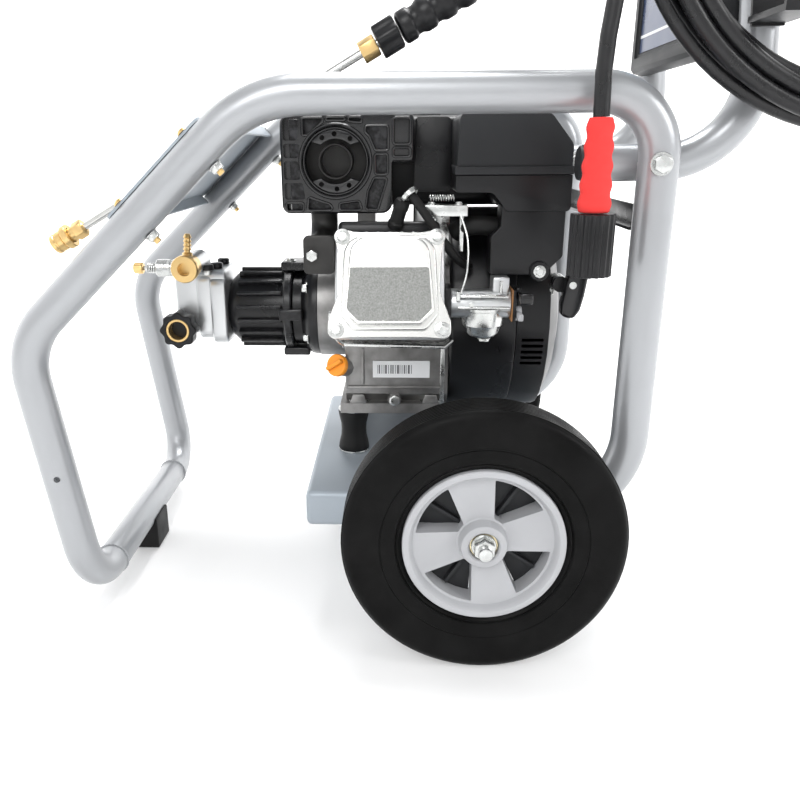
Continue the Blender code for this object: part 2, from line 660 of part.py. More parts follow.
def exhaust():
    """Muffler can with its pipe and flange, the cast guard in front and the heat shield."""
    can = prism(chamfered((-0.114, 0.407), (-0.018, 0.488), 0.016), -0.054, 0.006, "Y")
    pipe = rod((-0.084, -0.047, 0.420), (-0.084, -0.047, 0.372), 0.0135, 12)
    elbow = rod((-0.084, -0.047, 0.378), (-0.084, -0.104, 0.366), 0.0135, 12)
    flange = box((-0.0985, -0.118, 0.348), (-0.0688, -0.094, 0.384))
    bolt = rod((-0.090, -0.114, 0.366), (-0.090, -0.1235, 0.366), 0.0055, 6)
    wall = MUFFLER_WALL
    chamber = prism(
        chamfered((-0.114 + wall, 0.407 + wall), (-0.018 - wall, 0.488 - wall), 0.016 - wall / 2),
        -0.054 + wall, 0.006 - wall, "Y")
    tail = rod((-0.034, 0.000, 0.430), (-0.034, 0.020, 0.430), TAIL_RADIUS, 12)
    made("muffler", "dark_steel", [can, pipe, elbow, flange, bolt], [chamber, tail])

    low, high = (-0.1225, 0.401), (-0.015, 0.493)
    outline = [
        (low[0] + 0.008, low[1]), (high[0] - 0.006, low[1]), (high[0], low[1] + 0.006),
        (high[0], 0.450), (0.001, 0.450), (0.005, 0.454), (0.005, high[1] - 0.006),
        (-0.001, high[1]), (low[0] + 0.008, high[1]), (low[0], high[1] - 0.008),
        (low[0], low[1] + 0.008),
    ]
    shell = prism(outline, MUFFLER_FRONT + 0.004, -0.030, "Y")
    inner = prism(
        [(-0.114 - GAP, low[1] - 0.01), (-0.018 + GAP, low[1] - 0.01), (-0.018 + GAP, 0.488 + GAP),
         (-0.114 - GAP, 0.488 + GAP)], MUFFLER_FRONT + 0.010, 0.0, "Y")
    ring = turned(
        [(0.014, 0), (0.031, 0), (0.031, 0.007), (0.014, 0.007)], (-0.0695, MUFFLER_FRONT, 0.4495), "Y", 16)
    mouth = rod((-0.0695, -0.2, 0.4495), (-0.0695, -0.055, 0.4495), 0.0135, 16)
    pockets = []
    for x, z, w, h in (
        (-0.1170, 0.4700, 0.014, 0.016), (-0.1170, 0.4490, 0.011, 0.015), (-0.1170, 0.4290, 0.011, 0.014),
        (-0.1150, 0.4070, 0.018, 0.015), (-0.0900, 0.4060, 0.018, 0.008), (-0.0660, 0.4060, 0.018, 0.008),
        (-0.0400, 0.4080, 0.018, 0.016), (-0.0330, 0.4320, 0.012, 0.016), (-0.0960, 0.4830, 0.020, 0.007),
        (-0.0640, 0.4835, 0.020, 0.007), (-0.0380, 0.4700, 0.016, 0.017), (-0.0160, 0.4560, 0.015, 0.030),
    ):
        pockets.append(box((x, MUFFLER_FRONT, z), (x + w, MUFFLER_FRONT + 0.0070, z + h)))
    made("muffler_guard", "black_cast", [shell, ring], [inner, mouth, *pockets])

    shield = prism(
        [(0.0060, 0.420), (0.0430, 0.420), (0.0430, 0.490), (0.0075, 0.490), (0.0075, 0.4530), (0.0060, 0.450)],
        -0.052, -0.0495, "Y")
    leg = box((0.0060, -0.0520, 0.3453), (0.0080, -0.0440, 0.425))
    made("heat_shield", "black_paint", [shield, leg])


def intake():
    """Carburettor with its levers, and the air cleaner above it."""
    left = CYL_X + 0.0515 + GAP
    top = AIR_LOW - GAP
    body = box((0.050, -0.116, 0.305), (0.098, -0.086, 0.330))
    throat = rod((left, -0.106, 0.318), (0.1038, -0.106, 0.318), 0.0145, 14)
    riser = box((0.081, -0.112, 0.318), (0.097, -0.088, top))
    bowl = turned(
        [(0, 0.283), (0.006, 0.283), (0.014, 0.287), (0.0175, 0.294), (0.019, 0.310), (0, 0.310)],
        (0.078, -0.101, 0), "Z", 16)
    screw = rod((0.078, -0.101, 0.2795), (0.078, -0.101, 0.285), 0.0055, 6)
    insulator = box((left, -0.122, 0.300), (left + 0.007, -0.090, 0.336))
    made("carburettor", "zinc", [body, throat, riser, bowl, screw, insulator])

    face = 0.1038 + GAP
    lever_at = Vector((face, -0.106, 0.3275))
    disc = rod(lever_at, lever_at + Vector((0.004, 0, 0)), 0.0070, 12)
    arm = box((face, -0.136, 0.3235), (face + 0.003, -0.106, 0.3315))
    tab = box((face, -0.138, 0.3225), (face + 0.012, -0.130, 0.3325))
    made("choke_lever", "black_plastic", [disc, arm, tab], origin=lever_at)
    fuel_at = Vector((face, -0.106, 0.3085))
    disc = rod(fuel_at, fuel_at + Vector((0.006, 0, 0)), 0.0070, 12)
    arm = box((face, -0.130, 0.3055), (face + 0.005, -0.106, 0.3115))
    made("fuel_valve_lever", "grey_plastic", [disc, arm], origin=fuel_at)

    plate = box((0.0095, -0.0430, 0.3453), (0.0430, -0.0405, 0.404))
    shelf = box((0.0095, -0.0430, 0.3453), (0.0430, -0.0260, 0.348))
    post = rod((0.027, -0.0480, 0.392), (0.027, -0.0420, 0.392), 0.003, 8)
    made("throttle_bracket", "zinc", [plate, shelf, post])
    throttle_at = Vector((0.027, -0.0455, 0.392))
    ring = rod((0.027, -0.0470, 0.392), (0.027, -0.0438, 0.392), 0.0085, 12, bore=0.0033)
    arm = box((0.0335, -0.0470, 0.3895), (0.0415, -0.0438, 0.3945))
    made("throttle_lever", "zinc", [ring, arm], origin=throttle_at)

    wave = [
        (0.0440, 0.4210), (0.0790, 0.4210), (0.0860, 0.4160), (0.0900, 0.4065), (0.0960, 0.4040),
        (0.1520, 0.4040), (0.1520, 0.4370), (0.0440, 0.4370),
    ]
    lower = [
        (0.0790, AIR_LOW), (0.1300, AIR_LOW), (0.1480, 0.3600), (0.1480, 0.4100), (0.0880, 0.4100),
        (0.0880, 0.3900), (0.0790, 0.3820),
    ]
    skirt = prism(wave, -0.1000, 0.0040, "Y")
    pan = prism(lower, -0.0985, -0.0650, "Y")
    made("air_cleaner_base", "black_plastic", [pan, skirt])
    start = 0.4370 + GAP
    cover = prism(
        [(0.0445, start), (0.1515, start), (0.1515, 0.4620), (0.1300, 0.4900), (0.1200, 0.4925),
         (0.0500, 0.4925), (0.0445, 0.4860)], -0.0985, 0.0040, "Y")
    band = prism([(0.0430, start), (0.1530, start), (0.1530, 0.4450), (0.0430, 0.4450)], -0.1010, 0.0045, "Y")
    knob = rod((0.098, -0.047, 0.491), (0.098, -0.047, 0.4985), 0.012, 10)
    made("air_cleaner_cover", "black_plastic", [cover, band, knob])


AIR_LOW = 0.3445  # lower edge of the air cleaner


def tank_floor():
    """Height of the fuel tank's underside, just over the fan housing."""
    return CRANK_Z + FAN_RADIUS + 0.003


def tank():
    """Fuel tank behind the muffler and the air cleaner, with its cap."""
    floor = tank_floor()
    top = floor + 0.092
    shell = prism(chamfered((-0.100, 0.014), (0.124, 0.154), 0.020), floor, top, "Z")
    cap_at = Vector((0.012, 0.090, top))
    wall = TANK_WALL
    room = prism(
        chamfered((-0.100 + wall, 0.014 + wall), (0.124 - wall, 0.154 - wall), 0.020 - wall / 2),
        floor + wall, top - wall, "Z")
    filler = rod(cap_at - Vector((0, 0, 0.010)), cap_at + Vector((0, 0, 0.010)), FILLER_RADIUS, 16)
    made("fuel_tank", "black_paint", [shell], [room, filler])
    cap = turned([(0, GAP), (0.027, GAP), (0.028, 0.006), (0.026, 0.014), (0, 0.0155)], cap_at, "Z", 12)
    made("fuel_cap", "dark_plastic", [cap], origin=cap_at)


# ---------------------------------------------------------------------------------- pump
def pump():
    """Axial pump on the engine's shaft end, its head, unloader and fittings."""
    a, b = PUMP_X0, PUMP_X1
    radius = PUMP_RADIUS
    profile = [(0, a + GAP), (radius - 0.014, a + GAP), (radius - 0.0055, a + 0.009), (radius - 0.0035, a + 0.016),
               (radius - 0.0035, a + 0.064), (radius + 0.0035, a + 0.0645), (radius + 0.0035, a + 0.0725),
               (radius - 0.002, a + 0.073), (radius - 0.002, a + 0.084), (radius + 0.0065, a + 0.090),
               (radius + 0.0095, b - 0.006), (radius + 0.0095, b), (0, b)]
    shell = turned(profile, (0, CRANK_Y, CRANK_Z), "X", 20)
    ribs = 14
    comb = []
    for k in range(ribs):
        for part, reach in ((-0.22, -0.005), (-0.12, 0.001), (0.12, 0.001), (0.22, -0.005)):
            turn = 2 * math.pi * (k + part) / ribs
            comb.append((CRANK_Y + (radius + reach) * math.cos(turn), CRANK_Z + (radius + reach) * math.sin(turn)))
    fins = prism(comb, a + 0.014, a + 0.066, "X")
    body = [shell, fins]
    bore = rod((-0.1415, CRANK_Y, CRANK_Z), (0, CRANK_Y, CRANK_Z), SHAFT_RADIUS + RUN, 16)
    made("pump_housing", "black_cast", body, [bore])

    y = CRANK_Y
    block = prism(chamfered((y - 0.036, 0.262), (y + 0.036, 0.334), 0.008), HEAD_X0, a, "X")
    neck = prism(chamfered((y - 0.040, 0.250), (y + 0.040, 0.328), 0.012), a - 0.018, a, "X")
    boss = rod((OUTLET_X, y - 0.010, OUTLET_Z), (OUTLET_X, y - 0.0500, OUTLET_Z), 0.0115, 12)
    inlet = rod((INLET_X, y - 0.030, INLET_Z), (INLET_X, y - 0.0450, INLET_Z), 0.0115, 12)
    caps = []
    for k in range(2):
        x = -0.2130 + 0.0110 * k * 0
        caps.append(rod((x, y - 0.018 + 0.036 * k, 0.330), (x, y - 0.018 + 0.036 * k, 0.3405), 0.0070, 8))
    made("pump_head", "cast_aluminium", [block, neck, boss, inlet, *caps])

    out = Vector((OUTLET_X, y - 0.0500 - GAP, OUTLET_Z))
    elbow = rod(out, out + Vector((0, -0.018, 0)), 0.0130, 12)
    socket = rod(out + Vector((0, -0.016, 0)), out + Vector((0, -0.0270, 0)), 0.0145, 16)
    mouth = rod(out + Vector((0, -0.0150, 0)), out + Vector((0, -0.05, 0)), 0.0070, 12)
    riser = rod(out + Vector((0, -0.009, 0)), out + Vector((0.002, -0.009, 0.022)), 0.0055, 10)
    barb = rod(out + Vector((0.002, -0.009, 0.021)), out + Vector((0.002, -0.009, 0.036)), 0.0040, 8)
    made("pump_outlet", "brass", [elbow, socket, riser, barb], [mouth])

    yu, z = y + UNLOADER_Y, UNLOADER_Z
    end = HEAD_X0 - GAP
    barrel = rod((end, yu, z), (end - 0.0240, yu, z), 0.0100, 12)
    collar = rod((end, yu, z), (end - 0.0045, yu, z), 0.0118, 12)
    spring = rod((end - 0.0230, yu, z), (end - 0.0380, yu, z), 0.0060, 10)
    stem = rod((end - 0.0370, yu, z), (end - 0.0420, yu, z), 0.0030, 8)
    made("unloader", "zinc", [barrel, collar, spring, stem])
    knob_at = Vector((end - 0.0420 - GAP, yu, z))
    knob = rod(knob_at, knob_at + Vector((-0.0110, 0, 0)), 0.0065, 8)
    made("unloader_knob", "brass", [knob], origin=knob_at)

    swivel_at = Vector((INLET_X, y - 0.0450 - GAP, INLET_Z))
    lobes = []
    for k in range(24):
        turn = 2 * math.pi * k / 24
        reach = 0.0205 if k % 6 in (0, 1) else 0.0178
        lobes.append((swivel_at.x + reach * math.cos(turn), swivel_at.z + reach * math.sin(turn)))
    nut = prism(lobes, swivel_at.y - 0.020, swivel_at.y, "Y")
    mouth = rod(swivel_at + Vector((0, -0.03, 0)), swivel_at + Vector((0, -0.006, 0)), 0.0125, 12)
    made("inlet_swivel", "black_plastic", [nut], [mouth], origin=swivel_at)


# -------------------------------------------------------------------------------- handle
def arm_x(z):
    """X of a handle arm's centreline at height z."""
    return ARM_X - (z - STUB_Z) * math.tan(ARM_LEAN)


def handle():
    """Folding U-shaped handle, its pivot bolts, the label box and the hose hook."""
    half = HANDLE_TUBE / 2
    top_x = arm_x(HANDLE_TOP_Z)
    corners = [
        (STUB_X, -HANDLE_HALF, STUB_Z), (ARM_X, -HANDLE_HALF, STUB_Z),
        (top_x, -HANDLE_HALF, HANDLE_TOP_Z), (top_x, HANDLE_HALF, HANDLE_TOP_Z),
        (ARM_X, HANDLE_HALF, STUB_Z), (STUB_X, HANDLE_HALF, STUB_Z),
    ]
    radii = (HANDLE_BEND, CORNER_BEND, CORNER_BEND, HANDLE_BEND)
    path = rounded(corners, radii, (4, 3, 3, 4))
    tube = swept(path, half, half - HANDLE_WALL, TUBE_SIDES)
    plugs = []
    holes = []
    for side in (-1, 1):
        y = side * HANDLE_HALF
        plugs.append(rod((STUB_X - 0.004, y, STUB_Z), (STUB_X + 0.010, y, STUB_Z), half - HANDLE_WALL * 0.5, 12))
        holes.append(rod((PIVOT_X, y - half * 1.5, STUB_Z), (PIVOT_X, y + half * 1.5, STUB_Z), BOLT_RADIUS + RUN, 12))
    made("handle_tube", "silver_paint", [tube, *plugs], holes, origin=(PIVOT_X, 0, STUB_Z))

    outside = HALF_WIDTH + FRAME_TUBE / 2 + GAP
    inside = HANDLE_HALF - half - GAP
    between = (HANDLE_HALF + half + GAP, HALF_WIDTH - FRAME_TUBE / 2 - GAP)
    for name, side in (("near", -1), ("far", 1)):
        def at(y):
            return (PIVOT_X, side * y, STUB_Z)
        shank = rod(at(inside - 0.009), at(outside + 0.002), BOLT_RADIUS, 12)
        head = rod(at(outside), at(outside + 0.0065), 0.0095, 6)
        nut = rod(at(inside), at(inside - 0.007), 0.0088, 6)
        washer = rod(at(between[0]), at(between[1]), 0.0090, 12)
        made(f"handle_bolt_{name}", "zinc", [shank, head, nut, washer])

    edge = HANDLE_HALF - half - GAP
    panel = prism(
        [(0.2560, 0.5430), (0.2700, 0.5370), (0.2900, 0.5430), (0.2880, 0.6760), (0.2700, 0.6800), (0.2560, 0.6740)],
        -edge, edge, "Y")
    recess = box((0.2500, -edge + 0.014, 0.5560), (0.2600, edge - 0.014, 0.6600))
    made("label_box", "black_plastic", [panel], [recess])
    hose_hook()


def hose_hook():
    """Bracket on the near arm: a saddle under the coil's top, a lower peg and a gun rest."""
    half = HANDLE_TUBE / 2
    flat = -(HANDLE_HALF + half + GAP)
    low_z, high_z = 0.552, 0.842
    strap = prism(
        [(arm_x(low_z) - 0.014, low_z), (arm_x(low_z) + 0.012, low_z),
         (arm_x(high_z) + 0.012, high_z), (arm_x(high_z) - 0.014, high_z)], flat - 0.0035, flat, "Y")
    reach = -0.2180
    inner = COIL_INNER - 0.0006
    arc = []
    for k in range(7):
        turn = math.radians(122 - 6.5 * k)
        arc.append((COIL_X + inner * math.cos(turn), COIL_Z + inner * math.sin(turn)))
    for k in range(7):
        turn = math.radians(122 - 6.5 * (6 - k))
        arc.append((COIL_X + (inner - 0.005) * math.cos(turn), COIL_Z + (inner - 0.005) * math.sin(turn)))
    saddle = prism(arc, reach, flat - 0.001, "Y")
    stop_outer = []
    for turn, size in ((112, inner + 0.012), (98, inner + 0.012), (98, inner - 0.005), (112, inner - 0.005)):
        angle = math.radians(turn)
        stop_outer.append((COIL_X + size * math.cos(angle), COIL_Z + size * math.sin(angle)))
    stop = prism(stop_outer, reach - 0.003, reach + 0.001, "Y")
    web = prism(
        [(arm_x(0.800) + 0.008, 0.800), (arm_x(0.838) + 0.008, 0.838),
         (COIL_X + (inner - 0.002) * math.cos(math.radians(119)), COIL_Z + (inner - 0.002) * math.sin(math.radians(119))),
         (COIL_X + (inner - 0.003) * math.cos(math.radians(92)), COIL_Z + (inner - 0.003) * math.sin(math.radians(92)))],
        flat - 0.0035, flat, "Y")
    peg = box((arm_x(0.560) - 0.016, reach, 0.5540), (arm_x(0.560) + 0.014, flat - 0.001, 0.5590))
    lip = box((arm_x(0.560) - 0.016, reach - 0.003, 0.5540), (arm_x(0.560) + 0.014, reach + 0.001, 0.5740))
    low_seat, high_seat = (0.604, -0.0181), (0.632, -0.0132)
    tray = [beside_lance(*low_seat), beside_lance(*high_seat),
            beside_lance(high_seat[0], high_seat[1] - 0.003), beside_lance(low_seat[0], low_seat[1] - 0.003)]
    shelf = prism(tray, flat - 0.003, LANCE_TIP.y + 0.012, "Y")
    rest = prism(
        [tray[0], tray[1], (arm_x(0.682) - 0.010, 0.682), (arm_x(0.650) - 0.010, 0.650), tray[3]],
        flat - 0.0035, flat, "Y")
    made("hose_hook", "black_plastic", [strap, saddle, stop, web, peg, lip, rest, shelf])


# ------------------------------------------------------------------------- lance and gun
def along_lance():
    """Matrix from the lance's frame: local X along it from the tip, Z to its upper side."""
    return Matrix.Translation(LANCE_TIP) @ Matrix.Rotation(-LANCE_RISE, 4, "Y")


def beside_lance(along, out):
    """(X, Z) of a point along the lance from its tip and out to its upper side."""
    point = along_lance() @ Vector((along, 0, out))
    return point.x, point.z


def lance():
    """Lance with its quick coupler and nut, and the trigger gun on its upper end."""
    frame_of = along_lance()
    grip_start, gun_start = 0.3615, 0.470
    bar = rod((0.010, 0, 0), (grip_start - GAP, 0, 0), LANCE_RADIUS, 10)
    socket = rod((0, 0, 0), (0.012, 0, 0), 0.0095, 12)
    shoulder = rod((0.024, 0, 0), (0.034, 0, 0), 0.0085, 6)
    neck = rod((0.010, 0, 0), (0.026, 0, 0), 0.0070, 12)
    hexagon = rod((0.3250, 0, 0), (0.3405, 0, 0), 0.0095, 6)
    made("lance", "brass", [bar, socket, shoulder, neck, hexagon], matrix=frame_of)
    collar = rod((0.0125, 0, 0), (0.0190, 0, 0), 0.0125, 12, bore=0.0070 + RUN)
    at = frame_of @ Vector((0.0158, 0, 0))
    made("coupler_collar", "brass", [collar], origin=at, matrix=frame_of)

    lobes = []
    for k in range(24):
        turn = 2 * math.pi * k / 24
        reach = 0.0150 if k % 4 in (0, 1) else 0.0128
        lobes.append((reach * math.cos(turn), reach * math.sin(turn)))
    nut = prism(lobes, 0.3410, 0.3608, "X")
    hole = rod((0.33, 0, 0), (0.37, 0, 0), LANCE_RADIUS + RUN, 10)
    at = frame_of @ Vector((0.351, 0, 0))
    made("lance_nut", "black_plastic", [nut], [hole], origin=at, matrix=frame_of)

    ribs = [(0, grip_start)]
    for k in range(6):
        start = grip_start + 0.018 * k
        ribs += [(0.0135, start + 0.0005), (0.0135, start + 0.0125), (0.0115, start + 0.0140), (0.0115, start + 0.0178)]
    ribs += [(0, gun_start + 0.004)]
    sleeve = turned(ribs, (0, 0, 0), "X", 10)
    outline = [
        (gun_start, -0.015), (0.600, -0.018), (0.634, -0.012), (0.642, 0.010), (0.632, 0.150),
        (0.600, 0.156), (0.592, 0.148), (0.592, 0.050), (0.576, 0.018), (gun_start, 0.015),
    ]
    hull = prism(outline, -0.0135, 0.0135, "Y")
    guard = prism(
        [(0.500, 0.010), (0.506, 0.010), (0.518, 0.100), (0.534, 0.138), (0.596, 0.148), (0.596, 0.154),
         (0.528, 0.144), (0.512, 0.104)], -0.0050, 0.0050, "Y")
    slot = prism([(0.556, 0.0085), (0.600, 0.0085), (0.600, 0.058), (0.556, 0.058)], -0.0062, 0.0062, "Y")
    latch_slot = box((0.5900, -0.0039, 0.0820), (0.6005, 0.0039, 0.1230))
    made("gun_body", "black_plastic", [sleeve, hull, guard], [slot, latch_slot], matrix=frame_of)

    blade = [
        (0.5665, 0.0200), (0.5720, 0.0150), (0.5805, 0.0190), (0.5815, 0.0300), (0.5700, 0.0560),
        (0.5620, 0.0900), (0.5580, 0.1180), (0.5500, 0.1190), (0.5500, 0.0900), (0.5560, 0.0560),
    ]
    at = frame_of @ Vector((0.574, 0, 0.024))
    made("trigger", "black_plastic", [prism(blade, -0.0055, 0.0055, "Y")], origin=at, matrix=frame_of)
    latch = prism(
        [(0.5925, 0.0855), (0.5980, 0.0855), (0.5980, 0.1190), (0.5925, 0.1190)], -0.0036, 0.0036, "Y")
    at = frame_of @ Vector((0.5952, 0, 0.0882))
    made("trigger_latch", "orange_plastic", [latch], origin=at, matrix=frame_of)


# ---------------------------------------------------------------------------------- hose
def hose():
    """High-pressure hose: its coil on the hook, the hanging run and the pump-end fitting."""
    ring = turned(
        [(COIL_INNER, -COIL_WIDTH / 2), (COIL_OUTER, -COIL_WIDTH / 2),
         (COIL_OUTER, COIL_WIDTH / 2), (COIL_INNER, COIL_WIDTH / 2)],
        (COIL_X, COIL_Y, COIL_Z), "Y", 40)
    made("hose_coil", "rubber", [ring])

    sleeve_top, sleeve_low, fitting_low = 0.4830, 0.4112, 0.3615
    curve = bpy.data.curves.new("hose_run", "CURVE")
    curve.dimensions = "3D"
    route = [(0.1600, 0.7000), (0.1585, 0.6600), (0.1560, 0.6250), (0.1520, 0.5920), (0.1490, 0.5640),
             (0.1462, 0.5400), (0.1450, 0.5150), (HOSE_X, sleeve_top + GAP)]
    points = smooth_route(route, 12)
    line = curve.splines.new("POLY")
    line.points.add(len(points) - 1)
    for slot, (x, z) in zip(line.points, points):
        slot.co = (x, HOSE_Y, z, 1.0)
    curve.bevel_depth = HOSE_RADIUS
    curve.bevel_resolution = 2
    curve.use_fill_caps = True
    run = bpy.data.objects.new("hose_run", curve)
    bpy.context.scene.collection.objects.link(run)
    curve.materials.append(finish("rubber"))
    run.parent = bpy.data.objects["machine"]

    at = (HOSE_X, HOSE_Y, 0)
    profile = [(0, sleeve_low + GAP), (0.0118, sleeve_low + GAP)]
    for k in range(4):
        low = sleeve_low + 0.004 + 0.0165 * k
        swell = 0.0130 - 0.0008 * k
        profile += [(swell - 0.0012, low), (swell, low + 0.006), (swell - 0.0012, low + 0.012)]
    profile += [(0.0098, sleeve_top), (0, sleeve_top)]
    made("hose_sleeve", "red_rubber", [turned(profile, at, "Z", 12)])

    flutes = []
    for k in range(24):
        turn = 2 * math.pi * k / 24
        reach = 0.0178 if k % 2 else 0.0163
        flutes.append((HOSE_X + reach * math.cos(turn), HOSE_Y + reach * math.sin(turn)))
    grip = prism(flutes, fitting_low, sleeve_low - GAP, "Z")
    mouth = rod((HOSE_X, HOSE_Y, fitting_low - 0.01), (HOSE_X, HOSE_Y, fitting_low + 0.022), 0.0110, 16)
    made("hose_coupling", "black_plastic", [grip], [mouth], origin=(HOSE_X, HOSE_Y, fitting_low))

    end_x = COIL_X + COIL_OUTER - 0.020
    end_y = COIL_Y - COIL_WIDTH / 2 - GAP - 0.011
    fitting = turned(
        [(0, -0.030), (0.0110, -0.030), (0.0110, 0.004), (0.0085, 0.006), (0.0085, 0.028), (0, 0.028)],
        (end_x, end_y, COIL_Z), "Z", 12)
    made("hose_gun_fitting", "brass", [fitting])


def smooth_route(route, count):
    """Points of a smooth curve through a route's own points."""
    points = []
    last = len(route) - 1
    for k in range(last):
        a, b, c, d = route[max(k - 1, 0)], route[k], route[k + 1], route[min(k + 2, last)]
        steps = max(1, round(count * math.dist(b, c) / 0.25))
        for j in range(steps):
            t = j / steps
            point = []
            for p, q, r, s in zip(a, b, c, d):
                point.append(0.5 * (2 * q + (r - p) * t + (2 * p - 5 * q + 4 * r - s) * t * t
                                    + (3 * q - p - 3 * r + s) * t ** 3))
            points.append(tuple(point))
    points.append(route[-1])
    return points


def main():
    """Build the whole machine."""
    for old in list(bpy.data.objects):
        bpy.data.objects.remove(old, do_unlink=True)
    machine = bpy.data.objects.new("machine", None)
    machine.location.x = LAYOUT_SHIFT
    bpy.context.scene.collection.objects.link(machine)
    frame()
    wheels()
    engine()
    pump()
    handle()
    lance()
    hose()


if __name__ == "__main__":
    main()
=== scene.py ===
"""Petrol pressure washer: every visible surface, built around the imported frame."""

from __future__ import annotations

import logging
import math
from dataclasses import dataclass
from enum import Enum
from typing import Iterable, Sequence

import bmesh
import bpy
from mathutils import Matrix, Vector


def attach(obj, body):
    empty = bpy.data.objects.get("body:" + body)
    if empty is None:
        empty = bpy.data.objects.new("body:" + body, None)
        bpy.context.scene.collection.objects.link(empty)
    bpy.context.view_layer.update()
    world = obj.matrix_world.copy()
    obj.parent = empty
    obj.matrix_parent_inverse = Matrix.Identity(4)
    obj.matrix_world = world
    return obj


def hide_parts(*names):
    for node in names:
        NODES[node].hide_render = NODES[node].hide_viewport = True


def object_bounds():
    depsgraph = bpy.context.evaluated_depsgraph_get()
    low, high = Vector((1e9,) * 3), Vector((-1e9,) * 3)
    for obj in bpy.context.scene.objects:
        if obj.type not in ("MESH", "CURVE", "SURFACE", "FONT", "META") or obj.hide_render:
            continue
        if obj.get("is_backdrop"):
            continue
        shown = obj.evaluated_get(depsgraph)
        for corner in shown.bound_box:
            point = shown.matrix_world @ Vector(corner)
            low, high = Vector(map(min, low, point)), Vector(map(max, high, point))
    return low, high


LOG = logging.getLogger("pressure_washer")
Point = Sequence[float]

# The parts are set out from the engine's middle, which lies this far from the row frame's origin.
SHIFT = Matrix.Translation((-0.011, 0.0, 0.0))
SKIN = 0.0003  # gap between pieces that touch

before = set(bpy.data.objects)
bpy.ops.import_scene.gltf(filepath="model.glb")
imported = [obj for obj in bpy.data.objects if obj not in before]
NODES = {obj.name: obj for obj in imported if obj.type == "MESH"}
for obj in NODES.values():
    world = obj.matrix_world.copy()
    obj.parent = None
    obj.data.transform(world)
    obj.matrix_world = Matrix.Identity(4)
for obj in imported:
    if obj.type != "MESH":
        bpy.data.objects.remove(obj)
CAD_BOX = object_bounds()


class Along(Enum):
    """The axis that a shape is turned about or pushed along."""

    X = "X"
    Y = "Y"
    Z = "Z"

    def place(self, base: Point) -> Matrix:
        """Matrix that takes a shape standing on Z to this axis, with its foot at base."""
        turn = {
            "X": Matrix(((0, 0, 1, 0), (1, 0, 0, 0), (0, 1, 0, 0), (0, 0, 0, 1))),
            "Y": Matrix(((1, 0, 0, 0), (0, 0, 1, 0), (0, 1, 0, 0), (0, 0, 0, 1))),
            "Z": Matrix.Identity(4),
        }
        return Matrix.Translation(base) @ turn[self.value]


# ---- shapes
class Shape:
    """A mesh in the making. Each step is a bmesh operator and gives the shape back."""

    def __init__(self) -> None:
        """Starts an empty shape."""
        self.mesh = bmesh.new()

    def move(self, matrix: Matrix) -> "Shape":
        """Places the whole shape by a matrix."""
        bmesh.ops.transform(self.mesh, matrix=matrix, verts=self.mesh.verts)
        return self

    def shift(self, x: float = 0.0, y: float = 0.0, z: float = 0.0) -> "Shape":
        """Slides the whole shape."""
        return self.move(Matrix.Translation((x, y, z)))

    def outward(self) -> "Shape":
        """Turns every face to point out."""
        bmesh.ops.recalc_face_normals(self.mesh, faces=self.mesh.faces)
        return self

    def soften(self, width: float, steps: int = 2, angle: float = 32.0) -> "Shape":
        """Rounds the edges that are sharper than an angle.

        Args:
            width: how far back from each edge the rounding starts.
            steps: how many faces round it.
            angle: only edges that turn by more than this many degrees are rounded.
        Returns:
            The shape itself.
        """
        limit = math.radians(angle)
        edges = [e for e in self.mesh.edges if len(e.link_faces) == 2 and e.calc_face_angle(0) > limit]
        bmesh.ops.bevel(
            self.mesh, geom=edges, offset=width, offset_type="OFFSET", segments=steps, profile=0.5,
            affect="EDGES", clamp_overlap=True, material=-1)
        return self

    def add(self, *others: "Shape") -> "Shape":
        """Takes in other shapes as they lie."""
        for other in others:
            scrap = bpy.data.meshes.new("scrap")
            other.mesh.to_mesh(scrap)
            other.mesh.free()
            self.mesh.from_mesh(scrap)
            bpy.data.meshes.remove(scrap)
        return self

    def held(self) -> bpy.types.Object:
        """A short-lived object that carries this shape's mesh."""
        mesh = bpy.data.meshes.new("held")
        self.mesh.to_mesh(mesh)
        obj = bpy.data.objects.new("held", mesh)
        bpy.context.scene.collection.objects.link(obj)
        return obj

    def combine(self, way: str, tools: Iterable["Shape"]) -> "Shape":
        """Joins tools to the shape, or cuts them out of it.

        Args:
            way: "DIFFERENCE" or "UNION".
            tools: shapes, used up by this.
        Returns:
            The shape itself, with its new surface.
        """
        body = self.held()
        helpers = [tool.held() for tool in tools]
        for helper in helpers:
            step = body.modifiers.new("combine", "BOOLEAN")
            step.operation = way
            step.solver = "EXACT"
            step.object = helper
        graph = bpy.context.evaluated_depsgraph_get()
        graph.update()
        result = bpy.data.meshes.new_from_object(body.evaluated_get(graph))
        self.mesh.clear()
        self.mesh.from_mesh(result)
        bpy.data.meshes.remove(result)
        for obj in (body, *helpers):
            data = obj.data
            bpy.data.objects.remove(obj)
            bpy.data.meshes.remove(data)
        return self

    def cut(self, *tools: "Shape") -> "Shape":
        """Cuts tools out of the shape."""
        return self.combine("DIFFERENCE", tools)

    def join(self, *tools: "Shape") -> "Shape":
        """Joins tools to the shape in one skin."""
        return self.combine("UNION", tools)


